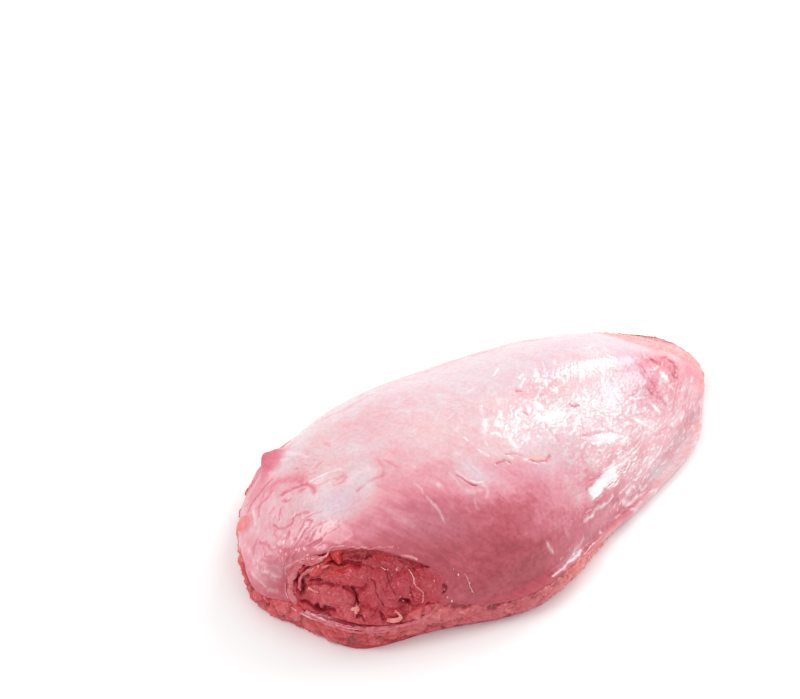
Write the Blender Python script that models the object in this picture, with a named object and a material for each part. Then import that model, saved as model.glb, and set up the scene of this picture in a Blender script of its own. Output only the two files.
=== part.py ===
"""A raw, trimmed pork cheek: one boneless muscle that lies on its flat cut side.

The upper side is a long dome under its silverskin. Round the foot of the dome runs a band of
coarse cut meat. Low on the front of the blunt left end the silverskin is torn away over a
shallow hollow of open, lumpy muscle. +X runs along the cheek to its thin end, +Z is up, and
the origin is the centre of the flat underside.
"""

import bpy
import numpy as np

MM = 0.001

# Driving dimensions.
LENGTH = 125.0 * MM
WIDTH = 70.0 * MM
HEIGHT = 31.0 * MM
CROWN = (-0.13, 0.06)  # the dome's highest point in plan, as shares of half the length and width

# The foot of the dome in plan, anticlockwise from the thin end, as shares of half the length
# and half the width. The dome would reach the table here.
DOME_FOOT = [
    (1.00, 0.34),
    (0.82, 0.75),
    (0.46, 0.96),
    (0.00, 1.00),
    (-0.45, 0.94),
    (-0.81, 0.65),
    (-1.01, 0.14),
    (-0.95, -0.42),
    (-0.64, -0.87),
    (-0.18, -0.95),
    (0.30, -0.63),
    (0.76, -0.12),
]

# The cut edge in plan, in the same shares, with the height of the cut band there in
# millimetres.
CUT_EDGE = [
    (1.00, 0.34, 5.0),
    (0.95, 0.60, 6.5),
    (0.80, 0.82, 6.5),
    (0.56, 0.97, 6.5),
    (0.20, 1.00, 6.5),
    (-0.16, 0.99, 6.0),
    (-0.50, 0.96, 5.5),
    (-0.73, 0.82, 5.0),
    (-0.89, 0.50, 4.5),
    (-0.98, 0.14, 5.0),
    (-1.00, -0.20, 6.0),
    (-0.88, -0.52, 7.0),
    (-0.745, -0.81, 7.5),
    (-0.46, -0.89, 8.0),
    (-0.14, -1.00, 7.5),
    (0.10, -0.88, 6.0),
    (0.28, -0.69, 4.0),
    (0.56, -0.46, 2.6),
    (0.82, -0.19, 2.4),
    (0.925, 0.07, 3.0),
]
LEDGE = 0.5 * MM  # how far the cut band stands out past the silverskin's edge
FOOT_TUCK = 1.8 * MM  # how far the foot lies inside the band's widest line
SKIRT_BLEND = 2.6 * MM  # how gently the dome runs out into the thin skirt

# The tear in the silverskin: its middle on the flank, the direction of its length, the
# direction down the flank, and its outline in those two directions in millimetres.
TEAR_MIDDLE = np.array([-39.6, -21.3, 13.7]) * MM
TEAR_ALONG = np.array([0.888, -0.452, 0.087])
TEAR_DOWN = np.array([-0.196, -0.542, -0.817])
TEAR_EDGE = [
    (18.4, -1.0),
    (14.5, 5.0),
    (9.0, 8.8),
    (0.0, 8.6),
    (-9.4, 6.6),
    (-17.5, 4.4),
    (-19.6, 0.5),
    (-16.6, -5.5),
    (-8.5, -8.6),
    (0.0, -9.0),
    (7.3, -6.9),
    (13.5, -4.2),
]
TEAR_REACH = 15.0 * MM  # no farther than this in from the flank does the tear touch anything
HOLLOW_DEPTH = 3.2 * MM
LIP_HEIGHT = 0.5 * MM  # the silverskin's curled edge along the top of the tear

LOBULE = 3.4 * MM  # width of a bundle of muscle where it is cut across
BAND_RELIEF = 0.9 * MM
BAND_SWELL = 0.7 * MM  # slow waves in the cut band
HOLLOW_RELIEF = 1.4 * MM
DOME_SWELL = 0.35 * MM
FAT_MIDDLE = np.array([-60.5, 5.0, 8.0]) * MM  # a lump of fat on the blunt end's edge
FAT_SIZE = np.array([4.0, 6.0, 4.0]) * MM
FAT_HEIGHT = 0.9 * MM

SEGMENTS = 320
RINGS = 150
TRIANGLE_SHARE = 0.118  # share of the triangles that is kept
MEAT_COLOUR = (0.62, 0.26, 0.30, 1.0)


def closed_curve(values, turn):
    """A smooth closed curve through evenly spaced values, read at turn (0 to 1): on each
    span the cubic that has the slope of its neighbours at both ends."""
    values = np.asarray(values, float)
    count = len(values)
    place = np.mod(turn, 1.0) * count
    start = np.floor(place).astype(int)
    t = place - start
    before, here = values[(start - 1) % count], values[start % count]
    after, beyond = values[(start + 1) % count], values[(start + 2) % count]
    return here + 0.5 * t * (
        after - before
        + t * (2 * before - 5 * here + 4 * after - beyond
               + t * (3 * (here - after) + beyond - before))
    )


def closed_reach(outline, angle):
    """How far a closed outline is from its zero point in the direction of angle."""
    turns = np.arange(720) / 720
    x, y = (closed_curve(column, turns) for column in zip(*outline))
    return np.interp(angle, np.arctan2(y, x), np.hypot(x, y), period=2 * np.pi)


def smooth_max(a, b, blend):
    """The larger of a and b, with the corner between them rounded over blend."""
    return 0.5 * (a + b + np.sqrt((a - b) ** 2 + blend ** 2))


def smooth_step(low, high, value):
    t = np.clip((value - low) / (high - low), 0, 1)
    return t * t * (3 - 2 * t)


def lattice_random(corner, salt):
    """A fixed random number, 0 to 1, for each corner of an endless cubic lattice."""
    mixed = (corner * np.array([73856093, 19349663, 83492791])).sum(axis=-1) + salt * 7919
    mixed = (mixed ^ (mixed >> 13)) & 0x7FFFFFFF
    mixed = (mixed * 1274126177) & 0x7FFFFFFF
    return ((mixed ^ (mixed >> 16)) & 0xFFFFFF) / 0xFFFFFF


def smooth_noise(points, cell, salt):
    """Smooth noise from -1 to 1: random numbers on a lattice, blended across each cell."""
    place = points / cell
    corner = np.floor(place).astype(np.int64)
    blend = place - corner
    blend = blend * blend * (3 - 2 * blend)
    total = 0.0
    for step in np.ndindex(2, 2, 2):
        share = np.prod(np.where(step, blend, 1 - blend), axis=-1)
        total = total + share * lattice_random(corner + step, salt)
    return 2 * total - 1


def lobules(points, cell, salt):
    """Rounded lumps, 0 in the creases and 1 on the lumps: in each lattice cell lies one
    random seed, and the height grows with the lead of the nearest seed over the next."""
    place = points / cell
    corner = np.floor(place).astype(np.int64)
    nearest = np.full(points.shape[:-1], 9.0)
    second = nearest.copy()
    for step in np.ndindex(3, 3, 3):
        cell_corner = corner + step - 1
        seed = cell_corner + np.stack([lattice_random(cell_corner, salt + k) for k in range(3)],
                                      axis=-1)
        distance = np.linalg.norm(place - seed, axis=-1)
        second = np.minimum(second, np.maximum(nearest, distance))
        nearest = np.minimum(nearest, distance)
    return np.sqrt(np.clip(1.8 * (second - nearest), 0, 1))


def plan_offset(share_x, share_y):
    """From shares of half the length and width to metres from the crown."""
    return (share_x - CROWN[0]) * LENGTH / 2, (share_y - CROWN[1]) * WIDTH / 2


def dome_height(x, y):
    """Height of the dome over a place given from the crown: a superellipse from the crown
    to the foot, fuller towards the blunt end and more of a wedge towards the thin one."""
    angle = np.arctan2(y, x)
    foot = [plan_offset(*point) for point in DOME_FOOT]
    thin_end = np.cos(angle)
    level = (np.hypot(x, y) / closed_reach(foot, angle)) ** (2.05 - 0.05 * thin_end)
    return HEIGHT * np.clip(1 - level, 0, 1) ** (0.50 + 0.02 * thin_end)


def body_surface(turn, ring):
    """Points of the smooth body. turn goes once round the cheek; ring goes from the crown
    (0) over the dome to the silverskin's edge (1), down the cut band to the foot (2) and
    under the cheek to the middle of the underside (3)."""
    share_x, share_y, band = (closed_curve(column, turn) for column in zip(*CUT_EDGE))
    edge_x, edge_y = plan_offset(share_x, share_y)
    reach = np.hypot(edge_x, edge_y)
    band = band * MM
    skin_edge = 1 - LEDGE / reach
    foot = 1 - FOOT_TUCK / reach

    over = skin_edge * (1 - (1 - np.clip(ring, 0, 1)) ** 1.6)
    top = smooth_max(dome_height(over * edge_x, over * edge_y), band, SKIRT_BLEND * over ** 4)

    # The cut band: a curve that sets out level, bulges past the edge and tucks in below.
    band_top = smooth_max(dome_height(skin_edge * edge_x, skin_edge * edge_y), band,
                          SKIRT_BLEND * skin_edge ** 4)
    down = np.clip(ring - 1, 0, 1)
    a, b = (1 - down) ** 3, 3 * down * (1 - down) ** 2
    c, d = 3 * down ** 2 * (1 - down), down ** 3
    band_share = a * skin_edge + (b + c) * (1 + 0.4 * MM / reach) + d * foot
    band_height = (a + 0.92 * b + 0.25 * c) * band_top

    under = foot * (1 - np.clip(ring - 2, 0, 1))
    share = np.where(ring <= 1, over, np.where(ring <= 2, band_share, under))
    height = np.where(ring <= 1, top, np.where(ring <= 2, band_height, 0.0))
    return np.stack([CROWN[0] * LENGTH / 2 + share * edge_x,
                     CROWN[1] * WIDTH / 2 + share * edge_y, height], axis=-1)


def outward(turn, ring):
    """The body's unit normals, from short steps along turn and ring."""
    step = 1e-4
    along = body_surface(turn + step, ring) - body_surface(turn - step, ring)
    down = (body_surface(turn, np.minimum(ring + step, 3))
            - body_surface(turn, np.maximum(ring - step, 0)))
    normal = np.cross(down, along)
    return normal / np.maximum(np.linalg.norm(normal, axis=-1, keepdims=True), 1e-12)


def tear_level(points):
    """0 in the middle of the tear, 1 on its outline, and how far down the flank: -1 to 1."""
    offset = points - TEAR_MIDDLE
    along, down = offset @ TEAR_ALONG / MM, offset @ TEAR_DOWN / MM
    level = np.hypot(along, down) / closed_reach(TEAR_EDGE, np.arctan2(down, along))
    depth_from_flank = np.linalg.norm(offset - (offset @ TEAR_ALONG)[..., None] * TEAR_ALONG
                                      - (offset @ TEAR_DOWN)[..., None] * TEAR_DOWN, axis=-1)
    level = np.where(depth_from_flank > TEAR_REACH, 9.0, level)
    return level, np.clip(down / 9.0, -1, 1)


def relief(points, ring):
    """How far the surface stands out from the smooth body."""
    level, low = tear_level(points)
    hollow = 1 - smooth_step(0.80 + 0.10 * np.clip(-low, 0, 1), 1.0, level)
    floor = 1 - 0.35 * np.clip(low, 0, 1)
    lumps = lobules(points, 1.5 * LOBULE, 11) + 0.5 * smooth_noise(points, LOBULE, 12)
    height = hollow * (HOLLOW_RELIEF * (lumps - 0.8) - HOLLOW_DEPTH * floor)
    height += LIP_HEIGHT * np.exp(-((level - 1.05) / 0.06) ** 2) * smooth_step(0.4, -0.4, low)

    band = smooth_step(0.985, 1.12, ring) * smooth_step(2.0, 1.85, ring) * (1 - hollow)
    height += band * BAND_RELIEF * (lobules(points, LOBULE, 21) - 0.7)
    height += band * BAND_SWELL * smooth_noise(points, 4 * LOBULE, 22)

    dome = smooth_step(1.0, 0.9, ring) * (1 - hollow)
    height += dome * DOME_SWELL * smooth_noise(points, 9 * LOBULE, 31)
    fat = np.exp(-(((points - FAT_MIDDLE) / FAT_SIZE) ** 2).sum(axis=-1))
    return height + FAT_HEIGHT * fat * smooth_step(2.0, 1.7, ring)


def cheek_surface(turn, ring):
    """Points of the cheek: the smooth body, moved along its normals by the relief."""
    points = body_surface(turn, ring)
    points = points + outward(turn, ring) * relief(points, ring)[..., None]
    points[..., 2] = np.where(ring >= 2, 0.0, np.maximum(points[..., 2], 0.0))
    return points


def fit_to_size(points):
    """Stretches the points very slightly, so that relief leaves length and width as named."""
    low, high = points.min(axis=0), points.max(axis=0)
    middle = np.array([(low[0] + high[0]) / 2, (low[1] + high[1]) / 2, 0.0])
    return (points - middle) * np.array([LENGTH, WIDTH, HEIGHT]) / (high - low)


def make_material():
    material = bpy.data.materials.new("raw_meat")
    material.use_nodes = True
    shader = material.node_tree.nodes["Principled BSDF"]
    shader.inputs["Base Color"].default_value = MEAT_COLOUR
    shader.inputs["Roughness"].default_value = 0.35
    shader.inputs["Metallic"].default_value = 0.0
    return material


def make_cheek():
    """A ball whose latitude becomes ring and whose longitude becomes turn."""
    bpy.ops.mesh.primitive_uv_sphere_add(segments=SEGMENTS, ring_count=RINGS)
    cheek = bpy.context.object
    cheek.name = "pork_cheek"
    mesh = cheek.data
    mesh.name = "pork_cheek"
    ball = np.empty(len(mesh.vertices) * 3)
    mesh.vertices.foreach_get("co", ball)
    ball = ball.reshape(-1, 3)
    turn = np.arctan2(ball[:, 1], ball[:, 0]) / (2 * np.pi)
    ring = 3 * np.arccos(np.clip(ball[:, 2], -1, 1)) / np.pi
    mesh.vertices.foreach_set("co", fit_to_size(cheek_surface(turn, ring)).ravel())
    mesh.update()
    mesh.shade_smooth()
    mesh.materials.append(make_material())
    fewer = cheek.modifiers.new("fewer_faces", "DECIMATE")
    fewer.ratio = TRIANGLE_SHARE
    return cheek


def main():
    for old in list(bpy.data.objects):
        bpy.data.objects.remove(old)
    cheek = make_cheek()
    collection = bpy.data.collections.new("pork_cheek")
    bpy.context.scene.collection.children.link(collection)
    for user in list(cheek.users_collection):
        user.objects.unlink(cheek)
    collection.objects.link(cheek)


main()
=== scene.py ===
"""The looks of a raw, trimmed pork cheek, laid out as a Blender add-on and run as a script.

The smooth body is worked out as in the solid: a superellipse dome, a cut band round its foot
and a flat underside. Each piece is a surface on that body with its own fine relief.
"""

import math

import bpy
import numpy as np
from bpy.props import FloatProperty, FloatVectorProperty, PointerProperty
from mathutils import Matrix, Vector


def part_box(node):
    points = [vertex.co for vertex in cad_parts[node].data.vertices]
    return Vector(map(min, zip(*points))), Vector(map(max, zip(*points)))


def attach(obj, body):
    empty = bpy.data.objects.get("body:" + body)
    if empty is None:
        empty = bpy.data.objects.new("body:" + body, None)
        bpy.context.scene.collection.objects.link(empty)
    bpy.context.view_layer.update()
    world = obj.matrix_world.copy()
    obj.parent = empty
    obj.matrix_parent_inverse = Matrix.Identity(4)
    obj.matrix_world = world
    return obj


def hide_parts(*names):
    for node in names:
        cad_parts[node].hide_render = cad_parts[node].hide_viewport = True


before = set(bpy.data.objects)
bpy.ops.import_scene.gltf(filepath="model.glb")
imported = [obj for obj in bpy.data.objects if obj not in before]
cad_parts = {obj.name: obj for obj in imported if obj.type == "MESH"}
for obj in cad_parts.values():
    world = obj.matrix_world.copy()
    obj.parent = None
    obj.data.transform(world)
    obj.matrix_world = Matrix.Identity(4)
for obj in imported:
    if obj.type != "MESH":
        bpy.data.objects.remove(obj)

bl_info = {
    "name": "Pork cheek",
    "version": (1, 0, 0),
    "blender": (4, 5, 0),
    "location": "3D View > Sidebar > Pork cheek",
    "description": "Makes a raw, trimmed pork cheek with its silverskin, cut edge and torn hollow",
    "category": "Object",
}

MM = 0.001
NODE = "pork_cheek"
BODY = "root"
SOLID_LOW, SOLID_HIGH = (np.array(corner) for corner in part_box(NODE))
SOLID_SIZE = SOLID_HIGH - SOLID_LOW
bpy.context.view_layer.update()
PLAN_FIT = np.array([0.990, 0.981, 0.990])  # room for the relief inside the solid
PLAN_SHIFT = np.array([0.35, -0.12, 0.0]) * MM

# The smooth body, as in the solid's source: shares of half the length and half the width,
# anticlockwise from the thin end, and the cut band's height in millimetres.
CROWN = (-0.13, 0.06)
DOME_FOOT = [
    (1, 0.34), (0.82, 0.75), (0.46, 0.96), (0, 1), (-0.45, 0.94), (-0.81, 0.65), (-1.01, 0.14),
    (-0.95, -0.42), (-0.64, -0.87), (-0.18, -0.95), (0.3, -0.63), (0.76, -0.12),
]
CUT_EDGE = [
    (1, 0.34, 5), (0.95, 0.6, 6.5), (0.8, 0.82, 6.5), (0.56, 0.97, 6.5), (0.2, 1, 6.5),
    (-0.16, 0.99, 6), (-0.5, 0.96, 5.5), (-0.73, 0.82, 5), (-0.89, 0.5, 4.5), (-0.98, 0.14, 5),
    (-1, -0.2, 6), (-0.88, -0.52, 7), (-0.745, -0.81, 7.5), (-0.46, -0.89, 8), (-0.14, -1, 7.5),
    (0.1, -0.88, 6), (0.28, -0.69, 4), (0.56, -0.46, 2.6), (0.82, -0.19, 2.4), (0.925, 0.07, 3),
]
LEDGE = 0.5 * MM
FOOT_TUCK = 1.8 * MM
SKIRT_BLEND = 2.6 * MM

# The tear in the silverskin, as in the solid's source.
TEAR_MIDDLE = np.array([-39.6, -21.3, 13.7]) * MM
TEAR_ALONG = np.array([0.888, -0.452, 0.087])
TEAR_DOWN = np.array([-0.196, -0.542, -0.817])
TEAR_OUT = np.cross(TEAR_DOWN, TEAR_ALONG)
TEAR_EDGE = [
    (18.4, -1), (14.5, 5), (9, 8.8), (0, 8.6), (-9.4, 6.6), (-17.5, 4.4), (-19.6, 0.5),
    (-16.6, -5.5), (-8.5, -8.6), (0, -9), (7.3, -6.9), (13.5, -4.2),
]
TEAR_REACH = 15.0 * MM
HOLLOW_DEPTH = 3.2 * MM

# How pale the silverskin is: this line in plan (millimetres) is where the milky veil is half
# gone, and the table says how pale it is at distances behind (+) and in front (-) of it.
VEIL_FRONT = [
    (-64, 2), (-58, -2), (-52, -6), (-45, -9), (-38, -8), (-30, -8), (-20, -9), (-10, -11.5),
    (0, -14), (10, -16), (20, -18), (30, -20), (45, -20), (64, -14),
]
VEIL_FADE = [
    (-16, 0.18), (-11, 0.3), (-6, 0.41), (-1, 0.61), (4, 0.81), (10, 0.89), (18, 0.95), (26, 1),
]

# Patches: middle in plan and half sizes in millimetres, heading in degrees, amount. They make
# the silverskin paler (+) or darker (-), bluish, fatty, vividly red, white with painted highlights
# and crinkled.
PALE_PATCHES = [
    (-54, 4, 5.5, 6, 0, -0.03), (-50, 8, 6, 3, 20, -0.05), (-55, -5, 6, 5, -20, 0.14),
    (-43, -6, 5, 4, 0, 0.24), (5, -22.5, 9, 3, 24, 0.1), (-53, 14.5, 4, 3.6, 40, -0.5),
    (-46, 20.5, 4.6, 3, 34, -0.6), (-50, 23, 6, 5, 40, -0.25), (19, -21.8, 5, 1.6, 25, -0.15),
    (14, -19.6, 4.6, 1.7, 20, 0.3), (19, -13.4, 5, 3.4, 25, 0.22),
    (37.5, -6.5, 4.6, 2.2, 25, 0.16), (38.6, -11.2, 4.4, 1.4, 28, 0.38),
    (54.6, -0.8, 1.8, 2.4, 0, 0.2), (43.5, -1.5, 3, 2.6, 0, 0.06),
    (10.4, -16.6, 4.6, 2.6, 10, 0.16), (7, -20, 4, 1.6, 15, 0.12),
    (-10.5, -18.4, 5, 1.6, -5, 0.12), (-38.8, -14.6, 3.4, 1.8, -20, 0.14),
    (-56.5, -2.4, 3, 3, 0, 0.12), (0, -27.4, 4, 1.4, 15, -0.12), (-60.4, 1.8, 1.6, 3, 0, -0.18),
    (-55.6, -12.2, 2.4, 1.4, -40, -0.15), (-24.4, -4.8, 2.6, 2.6, 0, 0.1),
    (42.6, -7, 4, 1.8, 28, -0.12), (32, -17.5, 12, 2, 25, 0.05), (46, -6.5, 9, 3.5, 30, 0.3),
    (6, -24, 10, 4, 20, 0.08), (-14, -1, 9, 5, 0, 0.07), (57, 7.6, 2.6, 2.4, 0, -0.36),
    (-39, 4, 9, 8, 0, 0.04), (-24, 13, 13, 4.5, 0, -0.13), (-57.4, -8.5, 3.4, 2.4, -40, -0.24),
    (-53, -8.4, 3.6, 1.5, -10, -0.18), (-49.6, -8.2, 3.4, 1.6, 0, 0.12),
    (-40, -9.6, 4.6, 2, -10, 0.18), (-34.4, -6, 3, 3, 0, 0.2), (-33.6, -12.6, 2.6, 4, 0, 0.16),
    (24, 0, 14, 8, 0, 0.06), (8, -5, 9, 6, 0, 0.1), (6, -11, 9, 3.2, -5, 0.1),
    (4, -28.6, 6, 2.4, 20, 0.08), (-45, 5, 3.5, 4, 0, -0.1), (48, 0, 10, 9, 0, -0.05),
    (46, 8, 4, 2.6, 0, -0.14), (50.5, 7, 2.4, 3, 0, -0.14), (42.5, 4, 1.8, 4.5, 10, -0.08),
    (37.6, 5.6, 3, 4, 0, -0.12), (38, -9, 12, 3, 22, -0.08), (25, -18.6, 5, 1.8, 25, -0.1),
    (-33, -2.4, 3.4, 2.4, 0, 0.12), (-11.5, -11.5, 3.6, 3.2, -50, 0.14),
    (-8.5, -14.2, 5, 2.6, -25, 0.26), (-24, -4, 7, 4, -60, -0.1),
    (-16.5, -13.8, 6, 2.6, -25, 0.16), (-21, -10.4, 4, 2.2, -25, 0.1), (-6, -17.6, 5, 2, -5, 0.14),
    (-3.4, -9.8, 4, 2.6, 0, 0.14), (8, -14, 5, 1.6, 5, 0.06), (-30, -13, 3, 5, -20, 0.05),
    (-8, -29.4, 8, 2.6, 4, -0.08),
]
LILAC_PATCHES = [
    (39.5, 7.5, 4, 6, 0, 0.75), (-40.5, -5, 4.5, 3, -20, 0.55), (-8, -13, 5, 2, -20, 0.35),
    (25, 16, 10, 4, 10, 0.25), (6, -14.5, 6, 1.8, 10, 0.35), (7, 8.5, 6, 3, 10, 0.22),
    (18, 8, 5, 4, 40, 0.35), (15, -7, 5, 3, 10, 0.35), (27, 1, 5, 3, 30, 0.3),
    (-43, 17, 2.4, 4, 0, 0.4), (-24, -19, 9, 4, -20, 0.16), (22, -20, 10, 2.4, 22, 0.1),
]
PEACH_PATCHES = [
    (-14, 1, 9, 5, -20, 0.3), (1.5, 3.5, 3.5, 2, 0, 0.35), (5.5, -12.3, 2.2, 0.9, 0, 0.8),
    (20, 2, 2.6, 2, 0, 0.35), (-36, 14, 6, 6, 0, 0.2), (-38, 4, 5, 4, 0, 0.18),
    (-32.6, -8.4, 2.2, 1.6, 0, 0.3), (12.2, -2, 0.9, 5, 0, 0.4), (47.6, -8, 2.2, 1, 30, 0.6),
    (54, -3.6, 1.2, 2.2, 20, 0.55), (20.3, -23, 5, 0.8, 22, 0.6), (38, -14.6, 6, 0.8, 30, 0.4),
    (25, 12, 3, 1.4, 40, 0.25), (-3, -9, 4, 2, 0, 0.25),
]
FLUSH_PATCHES = [
    (47.4, 7.6, 4.5, 2.4, 0, 0.66), (57, 7.6, 2.4, 2.2, 0, 0.34), (43, 4, 1.4, 4, 10, 0.4),
    (51, 7, 1.8, 2.5, 0, 0.35), (60, 10.5, 1.6, 3.2, 0, 0.4), (46, -5.5, 9, 3, 28, 0.2),
    (-52.6, 14.9, 2.4, 3.2, -20, 0.5), (-46.2, 20.4, 4.4, 2.4, 34, 0.78),
    (-57.6, 8.6, 1.3, 2.6, -15, 0.45), (-47.5, 9.2, 4, 1, -25, 0.35),
    (-45, 6.5, 1.2, 2.5, 0, 0.25), (-57.4, -8, 2.8, 2.2, -50, 0.35),
    (21, -20.2, 7.5, 2.6, 25, 0.52), (34, -13.6, 10, 3, 27, 0.15),
    (-53, -8.2, 3.6, 1.5, -10, 0.25), (-47, -9, 3, 1.2, 10, 0.15), (-59.6, 0, 1.2, 4, 8, 0.25),
]
# Glare: painted highlights, white laid into the colour where the folds would shine.
GLARE_PATCHES = [
    (3.5, -4.5, 5.8, 6.2, 0, 0.98), (46, 0.4, 3.6, 2.4, 0, 0.24), (40.6, -5, 2.4, 2, 0, 0.2),
    (13.5, -4, 5, 4.5, 0, 0.95), (21, -3, 5.5, 5, 0, 0.5), (29, -3.5, 7, 5.5, 0, 0.66),
    (26, 4, 6, 4.5, 0, 0.38), (33, 6, 4, 5.5, 0, 0.5), (33, 13, 5, 3, 0, 0.36),
    (25, -9.6, 6.5, 1.8, 6, 0.5), (19.6, -17.3, 3.8, 0.55, 28, 1.05),
    (21.4, -15.9, 3.6, 0.5, 26, 0.9), (17.6, -18.2, 1.8, 0.6, 32, 0.8),
    (23.4, -15.8, 4, 0.9, 26, 0.85), (27, -12.4, 8, 1.6, 16, 0.58), (33, -13.4, 10, 2, 25, 0.6),
    (42, -8.4, 9, 2.4, 27, 0.2), (38, -4, 5, 3.5, 0, 0.32), (47.5, 4.2, 2.8, 2.4, 0, 0.5),
    (46, -4, 5, 3, 25, 0.38), (14, 5, 5, 4, 60, 0.14), (19.8, -12.6, 3.8, 2.4, 25, 0.42),
    (14.2, -19.4, 4, 1.3, 22, 0.26), (37.4, -6.4, 4.6, 2, 25, 0.46),
    (29, -8.2, 4.6, 1.8, 10, 0.26), (7.4, 1, 3.6, 2.4, 0, 0.26), (51, -2.6, 2.6, 2.2, 40, 0.12),
    (27, -7.4, 3, 2.4, 0, 0.14), (-59.8, -5.4, 1.6, 5, 22, 0.34),
    (-55.6, -9.6, 3.2, 1.8, -40, 0.12), (-51.6, -8.6, 2.6, 1.6, 0, 0.1),
    (5.4, -29.8, 4, 1.4, 30, 0.35), (52, 2.6, 3, 2.4, 60, 0.22), (19, -21, 7, 1.4, 27, 0.3),
    (8, -27, 7, 1, 25, 0.3), (-3, -3.5, 2, 3, -40, 0.25), (-9.6, -15, 2.5, 2, -40, 0.3),
    (-42, 0, 5, 4.5, 0, 0.46), (-55, -1, 4, 5, 0, 0.34), (-57.5, -7.5, 3, 3.5, 20, 0.28),
    (-49, -6.5, 3.5, 2.5, 20, 0.22), (-52, 4.5, 4, 3, 0, 0.26), (-51.5, -5.5, 3, 2, 28, 0.24),
    (-55.4, -4, 2.6, 1.4, -10, 0.3), (-60.2, 1.5, 0.9, 4.5, 8, 0.55),
    (-44.5, -7.5, 3, 1.6, 10, 0.2),
]
CRINKLED_PATCHES = [
    (4, -4, 7, 6.5, 0, 0.95), (14, 0, 7, 8, 0, 0.85), (25, 3, 10, 8, 0, 0.85),
    (32, 6, 7, 7, 0, 0.6), (31, -5, 12, 7, 15, 0.9), (20, -13, 9, 4, 20, 0.75),
    (48, 3, 6, 6, 0, 0.9), (44, -4, 8, 5, 25, 0.75), (34, -13, 14, 4, 22, 0.9),
    (54, 0, 5, 6, 0, 0.6), (18, -20, 9, 3.5, 27, 0.8), (-53, -1, 6, 8, 0, 0.6),
    (-57, -7, 4.5, 4.5, 0, 0.75), (-44, -7, 5, 3, 0, 0.5), (-43, 8, 6, 7, 0, 0.45),
]

# Where the silverskin ends on the back of the thin end, and granular fat begins.
FAT_FRONT = [
    (18, 42), (25, 34), (32, 29), (38.5, 22.5), (42, 17.5), (45, 13.5), (49, 11), (53, 10),
    (57, 8.4), (60, 6.4), (64, 4),
]

# How the fine folds run: places in plan and headings in degrees.
GRAIN = [
    (-58, 4, 75), (-58, -5, -62), (-54, 0, 60), (-51, -8, 22), (-46, -6, 25), (-51, 4, 35),
    (-47, 9, -25), (-44.5, 3, -65), (-40, 3, -10), (-37, -8, 8), (-46, -12, 10), (-43, 15, -75),
    (-52, 12, 60), (-30, -12, -62), (-22, -14, -72), (-12, -13, -48), (-8, -8, -55), (2, -6, 60),
    (8, 6, 52), (16, 7, 62), (14, -5, 25), (5, -12, -15), (24, 2, 40), (27, -8, 12),
    (19, -12, -15), (22, -18, 24), (35, -13, 22), (45, -8, 26), (47, 3, -10), (42, 7, 85),
    (36, 8, 70), (50, -1, 25), (55, -1, 68), (56, 6, 40), (-10, -27, 6), (5, -28, 27),
    (40, -3, 15), (33, 4, 40),
]

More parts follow.
